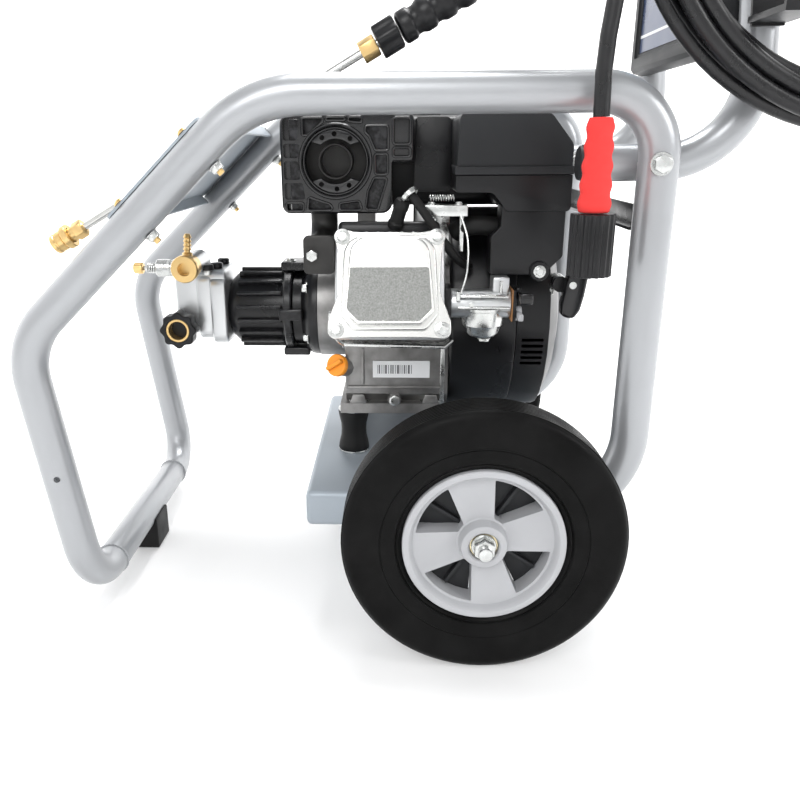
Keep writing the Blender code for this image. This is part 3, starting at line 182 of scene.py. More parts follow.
def lathe(profile: Sequence[Point], base: Point, along: Along = Along.Z, steps: int = 48,
    ring: bool = False) -> Shape:
    """A turned shape.

    Args:
        profile: (radius, height) points.
        base: where height 0 lies.
        along: the axis it turns about.
        steps: faces round it.
        ring: joins the profile's last point to its first, for a shape with a hole through it.
    Returns:
        The shape.
    """
    shape = Shape()
    mesh = shape.mesh
    points = [mesh.verts.new((r, 0.0, h)) for r, h in profile]
    edges = [mesh.edges.new(pair) for pair in zip(points, points[1:])]
    if ring:
        edges.append(mesh.edges.new((points[-1], points[0])))
    bmesh.ops.spin(
        mesh, geom=points + edges, cent=(0, 0, 0), axis=(0, 0, 1), dvec=(0, 0, 0),
        angle=math.tau, steps=steps, use_merge=True, use_normal_flip=False, use_duplicate=False)
    bmesh.ops.remove_doubles(mesh, verts=mesh.verts, dist=2e-6)
    bmesh.ops.dissolve_degenerate(mesh, dist=1e-7, edges=mesh.edges)
    return shape.outward().move(along.place(base))


def slab(outline: Sequence[Point], low: float, high: float, along: Along = Along.Y) -> Shape:
    """An outline pushed from low to high along an axis; (x, z), (y, z) or (x, y) points."""
    shape = Shape()
    mesh = shape.mesh
    spots = {
        Along.X: lambda p: (low, p[0], p[1]),
        Along.Y: lambda p: (p[0], low, p[1]),
        Along.Z: lambda p: (p[0], p[1], low),
    }[along]
    face = mesh.faces.new([mesh.verts.new(spots(p)) for p in outline])
    pushed = bmesh.ops.extrude_face_region(mesh, geom=[face])
    way = {"X": (1, 0, 0), "Y": (0, 1, 0), "Z": (0, 0, 1)}[along.value]
    moved = [g for g in pushed["geom"] if isinstance(g, bmesh.types.BMVert)]
    bmesh.ops.translate(mesh, verts=moved, vec=Vector(way) * (high - low))
    return shape.outward()


def block(low: Point, high: Point) -> Shape:
    """A box between two corners."""
    shape = Shape()
    bmesh.ops.create_cube(shape.mesh, size=1.0)
    low, high = Vector(low), Vector(high)
    return shape.move(Matrix.Translation((low + high) / 2) @ Matrix.Diagonal((*(high - low), 1)))


def aimed(start: Point, end: Point) -> Matrix:
    """Matrix that stands the Z axis on the line from start to end."""
    start, end = Vector(start), Vector(end)
    return Matrix.Translation(start) @ (end - start).to_track_quat("Z", "Y").to_matrix().to_4x4()


def bar(start: Point, end: Point, radius: float, sides: int = 28, edge: float = 0.0) -> Shape:
    """A round or, with few sides, a many-sided bar with rounded rims."""
    length = (Vector(end) - Vector(start)).length
    if sides < 12:
        shape = Shape()
        bmesh.ops.create_cone(
            shape.mesh, cap_ends=True, segments=sides, radius1=radius, radius2=radius, depth=length,
            matrix=Matrix.Translation((0, 0, length / 2)))
        if edge:
            shape.soften(edge, 2, 50.0)
    elif edge:
        round_in, round_up = edge * 0.3, edge * 0.3
        shape = lathe(
            [(0, 0), (radius - edge, 0), (radius - round_in, round_up), (radius, edge),
            (radius, length - edge), (radius - round_in, length - round_up), (radius - edge, length),
            (0, length)], (0, 0, 0), Along.Z, sides)
    else:
        shape = lathe([(0, 0), (radius, 0), (radius, length), (0, length)], (0, 0, 0), Along.Z, sides)
    return shape.move(aimed(start, end))


def ring(start: Point, end: Point, outer: float, inner: float, sides: int = 32, edge: float = 0.0005) -> Shape:
    """A round collar with a hole through it."""
    length = (Vector(end) - Vector(start)).length
    profile = [
        (inner, edge), (inner + edge, 0), (outer - edge, 0), (outer, edge),
        (outer, length - edge), (outer - edge, length), (inner + edge, length), (inner, length - edge),
    ]
    return lathe(profile, (0, 0, 0), Along.Z, sides, ring=True).move(aimed(start, end))


def bent(points: Sequence[Point], radii: Sequence[float], turn: float = 6.0) -> list[Vector]:
    """A path through points whose corners are arcs.

    Args:
        points: the corners.
        radii: the bend radius at each inner corner.
        turn: degrees between the path's points on a bend.
    Returns:
        The path's points.
    """
    path = [Vector(points[0])]
    for before, corner, after, radius in zip(points, points[1:], points[2:], radii):
        corner = Vector(corner)
        back = (Vector(before) - corner).normalized()
        ahead = (Vector(after) - corner).normalized()
        half = back.angle(ahead) / 2
        centre = corner + (back + ahead).normalized() * (radius / math.sin(half))
        reach = radius / math.tan(half)
        first = (corner + back * reach - centre).normalized()
        last = (corner + ahead * reach - centre).normalized()
        count = max(2, round(math.degrees(math.pi - 2 * half) / turn))
        for k in range(count + 1):
            path.append(centre + first.slerp(last, k / count).normalized() * radius)
    path.append(Vector(points[-1]))
    return path


def flowing(route: Sequence[Point], gap: float = 0.01) -> list[Vector]:
    """Points of a smooth curve through a route's own points, about a gap apart."""
    spots = [Vector(p) for p in route]
    path: list[Vector] = []
    last = len(spots) - 1
    for k in range(last):
        a, b, c, d = spots[max(k - 1, 0)], spots[k], spots[k + 1], spots[min(k + 2, last)]
        steps = max(1, round((c - b).length / gap))
        for j in range(steps):
            t = j / steps
            path.append(0.5 * (2 * b + (c - a) * t + (2 * a - 5 * b + 4 * c - d) * t ** 2
                + (3 * b - a - 3 * c + d) * t ** 3))
    path.append(spots[-1])
    return path


def pipe(path: Sequence[Point], radius: float, sides: int = 28, edge: float = 0.0) -> Shape:
    """A round tube along a path, with closed ends.

    Args:
        path: its centreline.
        radius: its outer radius.
        sides: faces round it.
        edge: rounding of its two end rims.
    Returns:
        The shape.
    """
    spots = [Vector(p) for p in path]
    ways = []
    for k, spot in enumerate(spots):
        back = (spot - spots[max(k - 1, 0)]).normalized()
        ahead = (spots[min(k + 1, len(spots) - 1)] - spot).normalized()
        ways.append((back + ahead).normalized())
    up = ways[0].orthogonal().normalized()
    places = []
    for k, (spot, way) in enumerate(zip(spots, ways)):
        if k:
            up = (ways[k - 1].rotation_difference(way) @ up).normalized()
        side = way.cross(up).normalized()
        places.append(Matrix((
            (up.x, side.x, way.x, spot.x), (up.y, side.y, way.y, spot.y),
            (up.z, side.z, way.z, spot.z), (0, 0, 0, 1))))
    shape = Shape()
    mesh = shape.mesh
    bmesh.ops.create_circle(mesh, cap_ends=False, radius=radius, segments=sides, matrix=places[0])
    rim = list(mesh.edges)
    for before, after in zip(places, places[1:]):
        grown = bmesh.ops.extrude_edge_only(mesh, edges=rim)["geom"]
        rim = [g for g in grown if isinstance(g, bmesh.types.BMEdge)]
        moved = [g for g in grown if isinstance(g, bmesh.types.BMVert)]
        bmesh.ops.transform(mesh, matrix=after @ before.inverted(), verts=moved)
    bmesh.ops.holes_fill(mesh, edges=[e for e in mesh.edges if len(e.link_faces) < 2], sides=0)
    shape.outward()
    if edge:
        shape.soften(edge, 2, 60.0)
    return shape


def from_node(node: str) -> Shape:
    """A copy of a frame node's surface with its flat faces whole again."""
    shape = Shape()
    shape.mesh.from_mesh(NODES[node].data)
    bmesh.ops.remove_doubles(shape.mesh, verts=shape.mesh.verts, dist=1e-5)
    bmesh.ops.dissolve_limit(
        shape.mesh, angle_limit=math.radians(0.8), use_dissolve_boundaries=False,
        verts=shape.mesh.verts, edges=shape.mesh.edges)
    return shape.move(SHIFT.inverted())


def piece(name: str, shape: Shape, finish: "Finish", body: str = "machine", replaces: Iterable[str] = (),
    crease: float = 34.0, edge: float = 0.0) -> bpy.types.Object:
    """Makes a finished piece that rides on a body.

    Args:
        name: the piece's name.
        shape: its mesh, used up by this.
        finish: what it is made of.
        body: the body that carries it.
        replaces: frame nodes that it stands for.
        crease: edges that turn by more degrees than this stay sharp.
        edge: how far its sharp edges are rounded, or 0.
    Returns:
        The new object.
    """
    shape.move(SHIFT)
    mesh = bpy.data.meshes.new(name)
    shape.mesh.to_mesh(mesh)
    shape.mesh.free()
    obj = bpy.data.objects.new(name, mesh)
    bpy.context.scene.collection.objects.link(obj)
    mesh.shade_smooth()
    mesh.set_sharp_from_angle(angle=math.radians(crease))
    if edge:
        rounding = obj.modifiers.new("edge", "BEVEL")
        rounding.width = edge
        rounding.segments = 2
        rounding.limit_method = "ANGLE"
        rounding.angle_limit = math.radians(crease)
        rounding.harden_normals = True
    mesh.materials.append(finish.material())
    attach(obj, body)
    if replaces:
        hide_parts(*replaces)
    LOG.info("%s on %s", name, body)
    return obj


def trued(node: str, finish: "Finish", body: str, edge: float = 0.0008, crease: float = 34.0) -> bpy.types.Object:
    """A frame node made again with rounded edges, in its own finish."""
    return piece(f"{node}_skin", from_node(node), finish, body, [node], crease, edge)


def hex_bolt(foot: Point, way: Point, across: float = 0.0055, tall: float = 0.0048, flange: float = 0.0) -> Shape:
    """A hexagon bolt head on a face.

    Args:
        foot: the middle of its seat.
        way: the direction it stands out in.
        across: the head's corner radius.
        tall: the head's height.
        flange: radius of its washer face, or 0.
    Returns:
        The shape.
    """
    foot, way = Vector(foot), Vector(way).normalized()
    head = bar(foot, foot + way * tall, across, 6, across * 0.12)
    dish = bar(foot + way * (tall - across * 0.2), foot + way * (tall + 0.00015), across * 0.62, 20)
    head.add(dish)
    if flange:
        head.add(bar(foot, foot + way * 0.0012, flange, 28, 0.0004))
    return head


# ---- finishes
class Grain(Enum):
    """The small marks on a surface."""

    ORANGE_PEEL = "orange peel"
    CAST = "cast"
    MOULDED = "moulded"
    BRUSHED = "brushed"
    SMOOTH = "smooth"


@dataclass(frozen=True)
class Finish:
    """One surface finish, with its small marks, its uneven colour and the wear on its edges."""

    name: str
    slot: str
    colour: tuple[float, float, float]
    roughness: float
    metallic: float = 0.0
    grain: Grain = Grain.ORANGE_PEEL
    grain_size: float = 0.0012
    grain_depth: float = 0.00004
    mottle: float = 0.08
    mottle_size: float = 0.06
    shine_spread: float = 0.06
    worn: float = 0.0
    worn_colour: tuple[float, float, float] = (0.5, 0.5, 0.5)
    coat: float = 0.0
    specular: float = 0.5
    glow: float = 0.0

    def material(self) -> bpy.types.Material:
        """The material, made on first use."""
        known = bpy.data.materials.get(self.name)
        return known if known else self.build()

    def build(self) -> bpy.types.Material:
        """Makes the material's nodes."""
        material = bpy.data.materials.new(self.name)
        material.use_nodes = True
        tree = material.node_tree
        shader = tree.nodes["Principled BSDF"]
        shader.inputs["Metallic"].default_value = self.metallic
        shader.inputs["Coat Weight"].default_value = self.coat
        shader.inputs["Specular IOR Level"].default_value = self.specular
        shader.inputs["Emission Color"].default_value = (1.0, 1.0, 1.0, 1.0)
        if self.glow:
            self.brighten(tree, shader)
        place = tree.nodes.new("ShaderNodeTexCoord").outputs["Object"]
        colour = self.patchy(tree, place, shader)
        if self.worn:
            colour = self.wear(tree, place, colour)
        tree.links.new(colour, shader.inputs["Base Color"])
        self.bumps(tree, place, shader)
        return material

    def brighten(self, tree: bpy.types.NodeTree, shader: bpy.types.Node) -> None:
        """Makes the floor shine by itself away from the object, most strongly behind it.

        Args:
            tree: the material's nodes.
            shader: its surface shader.
        """
        place = tree.nodes.new("ShaderNodeTexCoord").outputs["Object"]
        reach = tree.nodes.new("ShaderNodeVectorMath")
        reach.operation = "LENGTH"
        tree.links.new(place, reach.inputs[0])
        axes = tree.nodes.new("ShaderNodeSeparateXYZ")
        tree.links.new(place, axes.inputs[0])
        shares = []
        for value, low, high, dim in ((reach.outputs["Value"], .5, 2.2, .25), (axes.outputs["Y"], -2.5, .5, .3)):
            node = tree.nodes.new("ShaderNodeMapRange")
            for socket, number in zip(node.inputs[1:5], (low, high, dim, self.glow)):
                socket.default_value = number
            tree.links.new(value, node.inputs[0])
            shares.append(node.outputs[0])
        both = tree.nodes.new("ShaderNodeMath")
        both.operation = "MULTIPLY"
        for share, socket in zip(shares, both.inputs):
            tree.links.new(share, socket)
        tree.links.new(both.outputs[0], shader.inputs["Emission Strength"])

    def noise(self, tree: bpy.types.NodeTree, place: bpy.types.NodeSocket, size: float,
        detail: float = 3.0) -> bpy.types.NodeSocket:
        """A noise whose patches are about size metres across."""
        node = tree.nodes.new("ShaderNodeTexNoise")
        node.inputs["Scale"].default_value = 1.0 / size
        node.inputs["Detail"].default_value = detail
        tree.links.new(place, node.inputs["Vector"])
        return node.outputs["Fac"]

    def spread(self, tree: bpy.types.NodeTree, value: bpy.types.NodeSocket, low: float, high: float,
        start: float = 0.3, end: float = 0.7) -> bpy.types.NodeSocket:
        """Maps a value between start and end onto low to high."""
        node = tree.nodes.new("ShaderNodeMapRange")
        node.inputs["From Min"].default_value = start
        node.inputs["From Max"].default_value = end
        node.inputs["To Min"].default_value = low
        node.inputs["To Max"].default_value = high
        tree.links.new(value, node.inputs["Value"])
        return node.outputs["Result"]

    def mixed(self, tree: bpy.types.NodeTree, share: bpy.types.NodeSocket, first: object,
        second: object) -> bpy.types.NodeSocket:
        """Mixes two colours, each a socket or three numbers."""
        node = tree.nodes.new("ShaderNodeMix")
        node.data_type = "RGBA"
        tree.links.new(share, node.inputs["Factor"])
        for name, value in (("A", first), ("B", second)):
            socket = next(s for s in node.inputs if s.name == name and s.type == "RGBA")
            if isinstance(value, tuple):
                socket.default_value = (*value, 1.0)
            else:
                tree.links.new(value, socket)
        return next(s for s in node.outputs if s.type == "RGBA")

    def patchy(self, tree: bpy.types.NodeTree, place: bpy.types.NodeSocket,
        shader: bpy.types.Node) -> bpy.types.NodeSocket:
        """Uneven colour and shine in soft patches."""
        patches = self.noise(tree, place, self.mottle_size, 4.0)
        rough = self.spread(
            tree, patches, max(0.02, self.roughness - self.shine_spread),
            min(1.0, self.roughness + self.shine_spread))
        tree.links.new(rough, shader.inputs["Roughness"])
        dark = tuple(c * (1 - self.mottle) for c in self.colour)
        light = tuple(min(1.0, c * (1 + self.mottle)) for c in self.colour)
        return self.mixed(tree, self.spread(tree, patches, 0.0, 1.0), dark, light)

    def wear(self, tree: bpy.types.NodeTree, place: bpy.types.NodeSocket,
        colour: bpy.types.NodeSocket) -> bpy.types.NodeSocket:
        """Rubbed edges, broken up by a noise."""
        rim = tree.nodes.new("ShaderNodeNewGeometry").outputs["Pointiness"]
        edge = self.spread(tree, rim, 0.0, 1.0, 0.53, 0.62)
        broken = self.spread(tree, self.noise(tree, place, 0.006, 5.0), 0.0, self.worn, 0.4, 0.6)
        both = tree.nodes.new("ShaderNodeMath")
        both.operation = "MULTIPLY"
        tree.links.new(edge, both.inputs[0])
        tree.links.new(broken, both.inputs[1])
        return self.mixed(tree, both.outputs[0], colour, self.worn_colour)

    def bumps(self, tree: bpy.types.NodeTree, place: bpy.types.NodeSocket, shader: bpy.types.Node) -> None:
        """The grain, as a bump."""
        if self.grain is Grain.SMOOTH:
            return
        if self.grain is Grain.BRUSHED:
            stretch = tree.nodes.new("ShaderNodeMapping")
            stretch.inputs["Scale"].default_value = (1.0, 1.0, 14.0)
            tree.links.new(place, stretch.inputs["Vector"])
            place = stretch.outputs["Vector"]
        if self.grain is Grain.MOULDED:
            cells = tree.nodes.new("ShaderNodeTexVoronoi")
            cells.inputs["Scale"].default_value = 1.0 / self.grain_size
            tree.links.new(place, cells.inputs["Vector"])
            height = cells.outputs["Distance"]
        else:
            height = self.noise(tree, place, self.grain_size, 6.0 if self.grain is Grain.CAST else 2.0)
        bump = tree.nodes.new("ShaderNodeBump")
        bump.inputs["Strength"].default_value = 1.0
        bump.inputs["Distance"].default_value = self.grain_depth
        tree.links.new(height, bump.inputs["Height"])
        tree.links.new(bump.outputs["Normal"], shader.inputs["Normal"])


SILVER = Finish("silver_powder_coat", "silver_paint", (.37, .38, .395), .34, .5, coat=.1,
    grain_size=0.0016, grain_depth=0.00003, mottle=0.03)
GREY_SHEET = Finish("grey_sheet_coat", "grey_sheet", (.33, .37, .41), .45, .3, grain_depth=.00003, mottle=.05)
BLACK_PAINT = Finish("black_gloss_coat", "black_paint", (.008, .008, .009), .3, specular=.3, mottle=.15)
BLACK_CAST = Finish("black_cast_coat", "black_cast", (.006, .006, .007), .3, grain=Grain.CAST, specular=.35,
    grain_size=.0014, grain_depth=.0001, mottle=.2, worn=.4, worn_colour=(.11, .11, .12))
BLACK_PLASTIC = Finish("black_moulding", "black_plastic", (.008, .008, .009), .34, specular=.3,
    grain=Grain.MOULDED,
    grain_size=0.0009, grain_depth=0.00003, mottle=0.15)
GLOSS_PLASTIC = Finish("gloss_moulding", "black_plastic", (.007, .007, .008), .2, grain_depth=.00002,
    mottle=0.1, specular=0.45)
GREY_PLASTIC = Finish("grey_moulding", "grey_plastic", (.4, .405, .42), .5, specular=.25, grain=Grain.MOULDED,
    grain_size=0.0011, grain_depth=0.00004, mottle=0.05)
DARK_PLASTIC = Finish("charcoal_moulding", "dark_plastic", (.024, .025, .027), .5, specular=.25,
    grain=Grain.MOULDED,
    grain_size=0.0009, grain_depth=0.00003)
GUARD_COAT = Finish("guard_coat", "black_cast", (.006, .006, .007), .22, specular=.7, grain=Grain.CAST,
    grain_size=0.0014, grain_depth=0.00004, mottle=0.2)
RUBBER = Finish("black_rubber", "rubber", (.008, .008, .008), .5, specular=.22, grain=Grain.CAST, grain_size=.0012,
    grain_depth=.00006, mottle=.2, mottle_size=.03, shine_spread=.1)
TYRE = Finish("tyre_rubber", "rubber", (.006, .006, .006), .42, specular=.06, grain=Grain.CAST, grain_size=.0016,
    grain_depth=.0001, mottle=.35, mottle_size=.035, shine_spread=.12)
HOSE_RUBBER = Finish("hose_rubber", "rubber", (.008, .008, .009), .3, specular=.4, grain_size=.002,
    grain_depth=.00005, mottle=.2, mottle_size=.02, shine_spread=.08)
CAST = Finish("cast_aluminium", "cast_aluminium", (.46, .45, .44), .42, .8, grain=Grain.CAST,
    grain_size=.0013, grain_depth=.00014, mottle=.1, mottle_size=.02, shine_spread=.1)
CASE_METAL = Finish("crankcase_casting", "cast_aluminium", (.27, .265, .26), .38, .8, grain=Grain.CAST,
    grain_size=.0012, grain_depth=.00006, mottle=.3, mottle_size=.02)
CAST_COVER = Finish("bright_cast_skin", "cast_aluminium", (.78, .78, .76), .27, .85, grain=Grain.CAST,
    grain_size=0.001, grain_depth=0.00004, mottle=0.03)
CAST_BLAST = Finish("blasted_cast_panel", "cast_aluminium", (.27, .275, .265), .62, .5, grain=Grain.CAST,
    grain_size=.0007, grain_depth=.00022, mottle=.3, mottle_size=.0015)
DARK_STEEL = Finish("heat_dark_steel", "dark_steel", (.03, .029, .028), .45, .5, grain=Grain.CAST,
    grain_depth=0.00008, mottle=0.3, mottle_size=0.02)
ZINC = Finish("zinc_plate", "zinc", (.6, .61, .6), .27, 1.0, grain=Grain.BRUSHED, grain_size=.003,
    grain_depth=.000006, mottle=.1, mottle_size=.008, shine_spread=.1)
ZINC_ROD = Finish("drawn_steel_rod", "brass", (.62, .62, .6), .25, 1.0, grain_size=.004, grain_depth=.000004,
    mottle=0.06, mottle_size=0.02)
YELLOW_ZINC = Finish("yellow_zinc_plate", "zinc", (.78, .68, .44), .3, 1.0, mottle=.15, mottle_size=.01)
BRASS = Finish("brass", "brass", (.8, .6, .33), .24, 1.0, grain=Grain.BRUSHED, grain_size=.003,
    grain_depth=.000006, mottle=.1, mottle_size=.01, shine_spread=.08)
ORANGE = Finish("orange_moulding", "orange_plastic", (.86, .3, .02), .32, grain_depth=.00002, mottle=.05)
RED = Finish("red_rubber", "red_rubber", (.66, .045, .035), .42, specular=.35, grain_depth=.00003, mottle=.06,
    mottle_size=0.02)
GASKET = Finish("brown_gasket", "rubber", (.3, .14, .05), .6, grain=Grain.CAST, mottle=.2, mottle_size=.004)
LABEL_WHITE = Finish("white_label", "grey_plastic", (.78, .79, .8), .38, grain_depth=.00001, mottle=.03)
LABEL_INK = Finish("label_ink", "dark_plastic", (.1, .1, .11), .5, grain_depth=.00001, mottle=.05)
LABEL_NAVY = Finish("navy_label", "dark_plastic", (.012, .035, .11), .3, grain_depth=.00001, mottle=.1, coat=.2)
LABEL_SKY = Finish("sky_label", "dark_plastic", (.22, .46, .68), .3, grain_depth=.00001, mottle=.1, coat=.2)
FLOOR = Finish("pale_floor", "", (.75, .75, .75), .7, grain_depth=.00001, mottle=.01, mottle_size=.8, glow=1.0)


# ---- cart's frame
@dataclass
class Cart:
    """Side tubes, front foot, engine tray, cross plate and nozzle panel."""

    tube: float = 0.033
    half_width: float = 0.175
    knee: tuple[float, float] = (-0.3525, 0.2925)
    top_front: tuple[float, float] = (-0.131, 0.504)
    wheel_x: float = 0.068
    wheel_z: float = 0.127
    pivot: tuple[float, float] = (0.2015, 0.448)
    foot: tuple[float, float] = (-0.3165, 0.04)
    panel: tuple[float, float] = (0.144, 0.262)
    panel_half: float = 0.178
    sheet: float = 0.0025

    def on_diagonal(self, along: float, out: float, y: float) -> Vector:
        """A point beside the front diagonal: along it, off it and across the machine."""
        start = Vector((self.knee[0], 0, self.knee[1]))
        ahead = (Vector((self.top_front[0], 0, self.top_front[1])) - start).normalized()
        point = start + ahead * along + Vector((-ahead.z, 0, ahead.x)) * out
        return Vector((point.x, y, point.z))

    def bolt_places(self) -> list[tuple[float, float]]:
        """Where the nozzle panel is bolted, as (along, across)."""
        low, high = self.panel[0] + 0.018, self.panel[1] - 0.018
        return [(a, s * self.half_width) for s in (-1, 1) for a in (low, high)]

    def side(self, name: str, side: int) -> None:
        """One bent side tube with its drain hole."""
        y = side * self.half_width
        half = self.tube / 2
        corners = [
            (-.055, y, .131), (.2045, y, .131), (.2045, y, .504),
            (self.top_front[0], y, self.top_front[1]), (self.knee[0], y, self.knee[1]),
            (self.foot[0], y, self.foot[1]), (self.foot[0], side * 0.118, self.foot[1]),
        ]
        shape = pipe(bent(corners, (.08, .052, .11, .072, .05), 5.0), half, 40)
        drills = []
        x, z = (-.3118, .1834) if side > 0 else (-.3305, .1655)
        drills.append(bar((x, y - 0.03, z), (x, y - half + 0.007, z), 0.003, 24))
        shape.cut(*drills)
        piece(f"side_tube_{name}", shape, SILVER, replaces=[f"frame_side_{name}"])

    def foot_tube(self) -> None:
        """Front foot tube with the weld beads at its ends, and its rubber foot."""
        x, z = self.foot
        half = self.tube / 2
        piece("foot_tube", pipe([(x, -0.1177, z), (x, 0.1177, z)], half, 40, 0.0006), SILVER,
            replaces=["front_foot_tube"])
        bead = Shape()
        for side in (-1, 1):
            for k in range(40):
                turn = math.tau * k / 40
                spot = Vector((x + half * math.cos(turn), side * 0.1179, z + half * math.sin(turn)))
                drop = Shape()
                bmesh.ops.create_uvsphere(drop.mesh, u_segments=10, v_segments=6, radius=0.0017)
                bead.add(drop.move(Matrix.Translation(spot) @ Matrix.Diagonal((1.0, 0.8, 1.0, 1))))
        piece("foot_weld_beads", bead, SILVER)
        pad = from_node("foot_pad")
        piece("rubber_foot", pad, RUBBER, replaces=["foot_pad"], edge=0.0016)

    def tray(self) -> None:
        """Folded engine tray with rolled edges, washers and bolt heads under the mounts."""
        low, high, edge, deep, thick = -.099, .16, .1582, .037, .003
        shell = block((low, -edge, 0.14 - deep), (high, edge, 0.14)).soften(0.006, 4, 60)
        room = block((low + thick, -edge + thick, 0.05), (high - thick, edge - thick, 0.14 - thick)).soften(0.0035, 3,
            60)
        way = bar((self.wheel_x, -0.2, self.wheel_z), (self.wheel_x, 0.2, self.wheel_z), 0.0083, 32)
        piece("tray_sheet", shell.cut(room, way), GREY_SHEET, replaces=["engine_tray"], edge=0.0004)
        bolts = Shape()
        for x in (-0.057, 0.037):
            for y in (-0.041, 0.121):
                bolts.add(hex_bolt((x, y, .137 - SKIN), (0, 0, -1), .0075, .0055, .0105))
        piece("mount_bolts", bolts, ZINC)

    def cross_plate(self) -> None:
        """Plate across the side tubes that the handle rests on."""
        half = 0.1582
        web = block((.203, -half, .392), (.206, half, .412)).soften(.0009, 2, 60)
        lip = block((.191, -half + .004, .392), (.2045, half - .004, .395)).soften(.0009, 2, 60)
        piece("cross_plate_sheet", web.join(lip), BLACK_PAINT, replaces=["cross_plate"], edge=0.0003)

    def nozzle_panel(self) -> None:
        """Sheet across the front diagonals with rolled lips, a lance slot and its four bolts."""
        start = self.on_diagonal(0, 0, 0)
        ahead = (self.on_diagonal(1, 0, 0) - start).normalized()
        basis = Matrix((
            (ahead.x, 0, -ahead.z, start.x), (0, 1, 0, 0), (ahead.z, 0, ahead.x, start.z), (0, 0, 0, 1)))
        half = self.tube / 2
        under = half + SKIN
        low, high = self.panel
        wide, thick = self.panel_half, self.sheet
        outline = []
        for x, y, begin in ((high, wide, 0), (low, wide, 90), (low, -wide, 180), (high, -wide, 270)):
            round_x = x + (-0.007 if x == high else 0.007)
            round_y = y + (-0.007 if y > 0 else 0.007)
            for k in range(7):
                turn = math.radians(begin + 15 * k)
                outline.append((round_x + 0.007 * math.cos(turn), round_y + 0.007 * math.sin(turn)))
        sheet = slab(outline, under, under + thick, Along.Z)
        inner = self.half_width - half - 0.004
        lips = [
            block((low, -inner + .03, under - .012), (low + thick, inner, under + .001)).soften(.0006, 2, 60),
            block((high - thick, -inner + .03, under - .012), (high, inner, under + .001)).soften(.0006, 2, 60)]
        middle = self.lance_crossing()
        ends = []
        for centre, begin in ((middle + 0.02, -90), (middle - 0.02, 90)):
            ends += [(centre + 0.008 * math.cos(math.radians(begin + 12 * k)),
                -0.14 + 0.008 * math.sin(math.radians(begin + 12 * k))) for k in range(16)]
        slot = slab(ends, 0.0, 0.05, Along.Z)
        piece("panel_sheet", sheet.join(*lips).cut(slot).move(basis), GREY_SHEET,
            replaces=["nozzle_panel"], edge=0.0006)
        heads, nuts, studs = Shape(), Shape(), Shape()
        for along, across in self.bolt_places():
            top = under + thick
            dome = [(0, .0034), (.0018, .0033), (.0034, .0026), (.0046, .0014), (.005, .0002), (0, .0002)]
            heads.add(lathe(list(reversed(dome)), (along, across, top), Along.Z, 32))
            base = (along, across, -half - SKIN)
            nuts.add(bar(base, (along, across, -half - 0.0063), 0.0058, 6, 0.0008))
            nuts.add(ring(base, (along, across, -half - .0014), .0064, .0032, 28, .0003))
            studs.add(bar((along, across, -half - .006), (along, across, -half - .01), .003, 20, .0007))
        piece("panel_bolt_heads", heads.move(basis), BRASS)
        piece("panel_nuts", nuts.move(basis), ZINC)
        piece("panel_studs", studs.move(basis), BRASS)

    def lance_crossing(self) -> float:
        """How far along the diagonal the lance passes through the panel."""
        start = self.on_diagonal(0, 0, 0)
        ahead = (self.on_diagonal(1, 0, 0) - start).normalized()
        normal = Vector((-ahead.z, 0, ahead.x))
        way = Vector((math.cos(Lance.rise), 0, math.sin(Lance.rise)))
        tip = Vector((Lance.tip[0], 0, Lance.tip[2])) - start
        run = (self.tube / 2 + self.sheet / 2 - tip.dot(normal)) / way.dot(normal)
        return (tip + way * run).dot(ahead)

    def build(self) -> None:
        """Makes the whole frame."""
        self.side("near", -1)
        self.side("far", 1)
        self.foot_tube()
        self.tray()
        self.cross_plate()
        self.nozzle_panel()


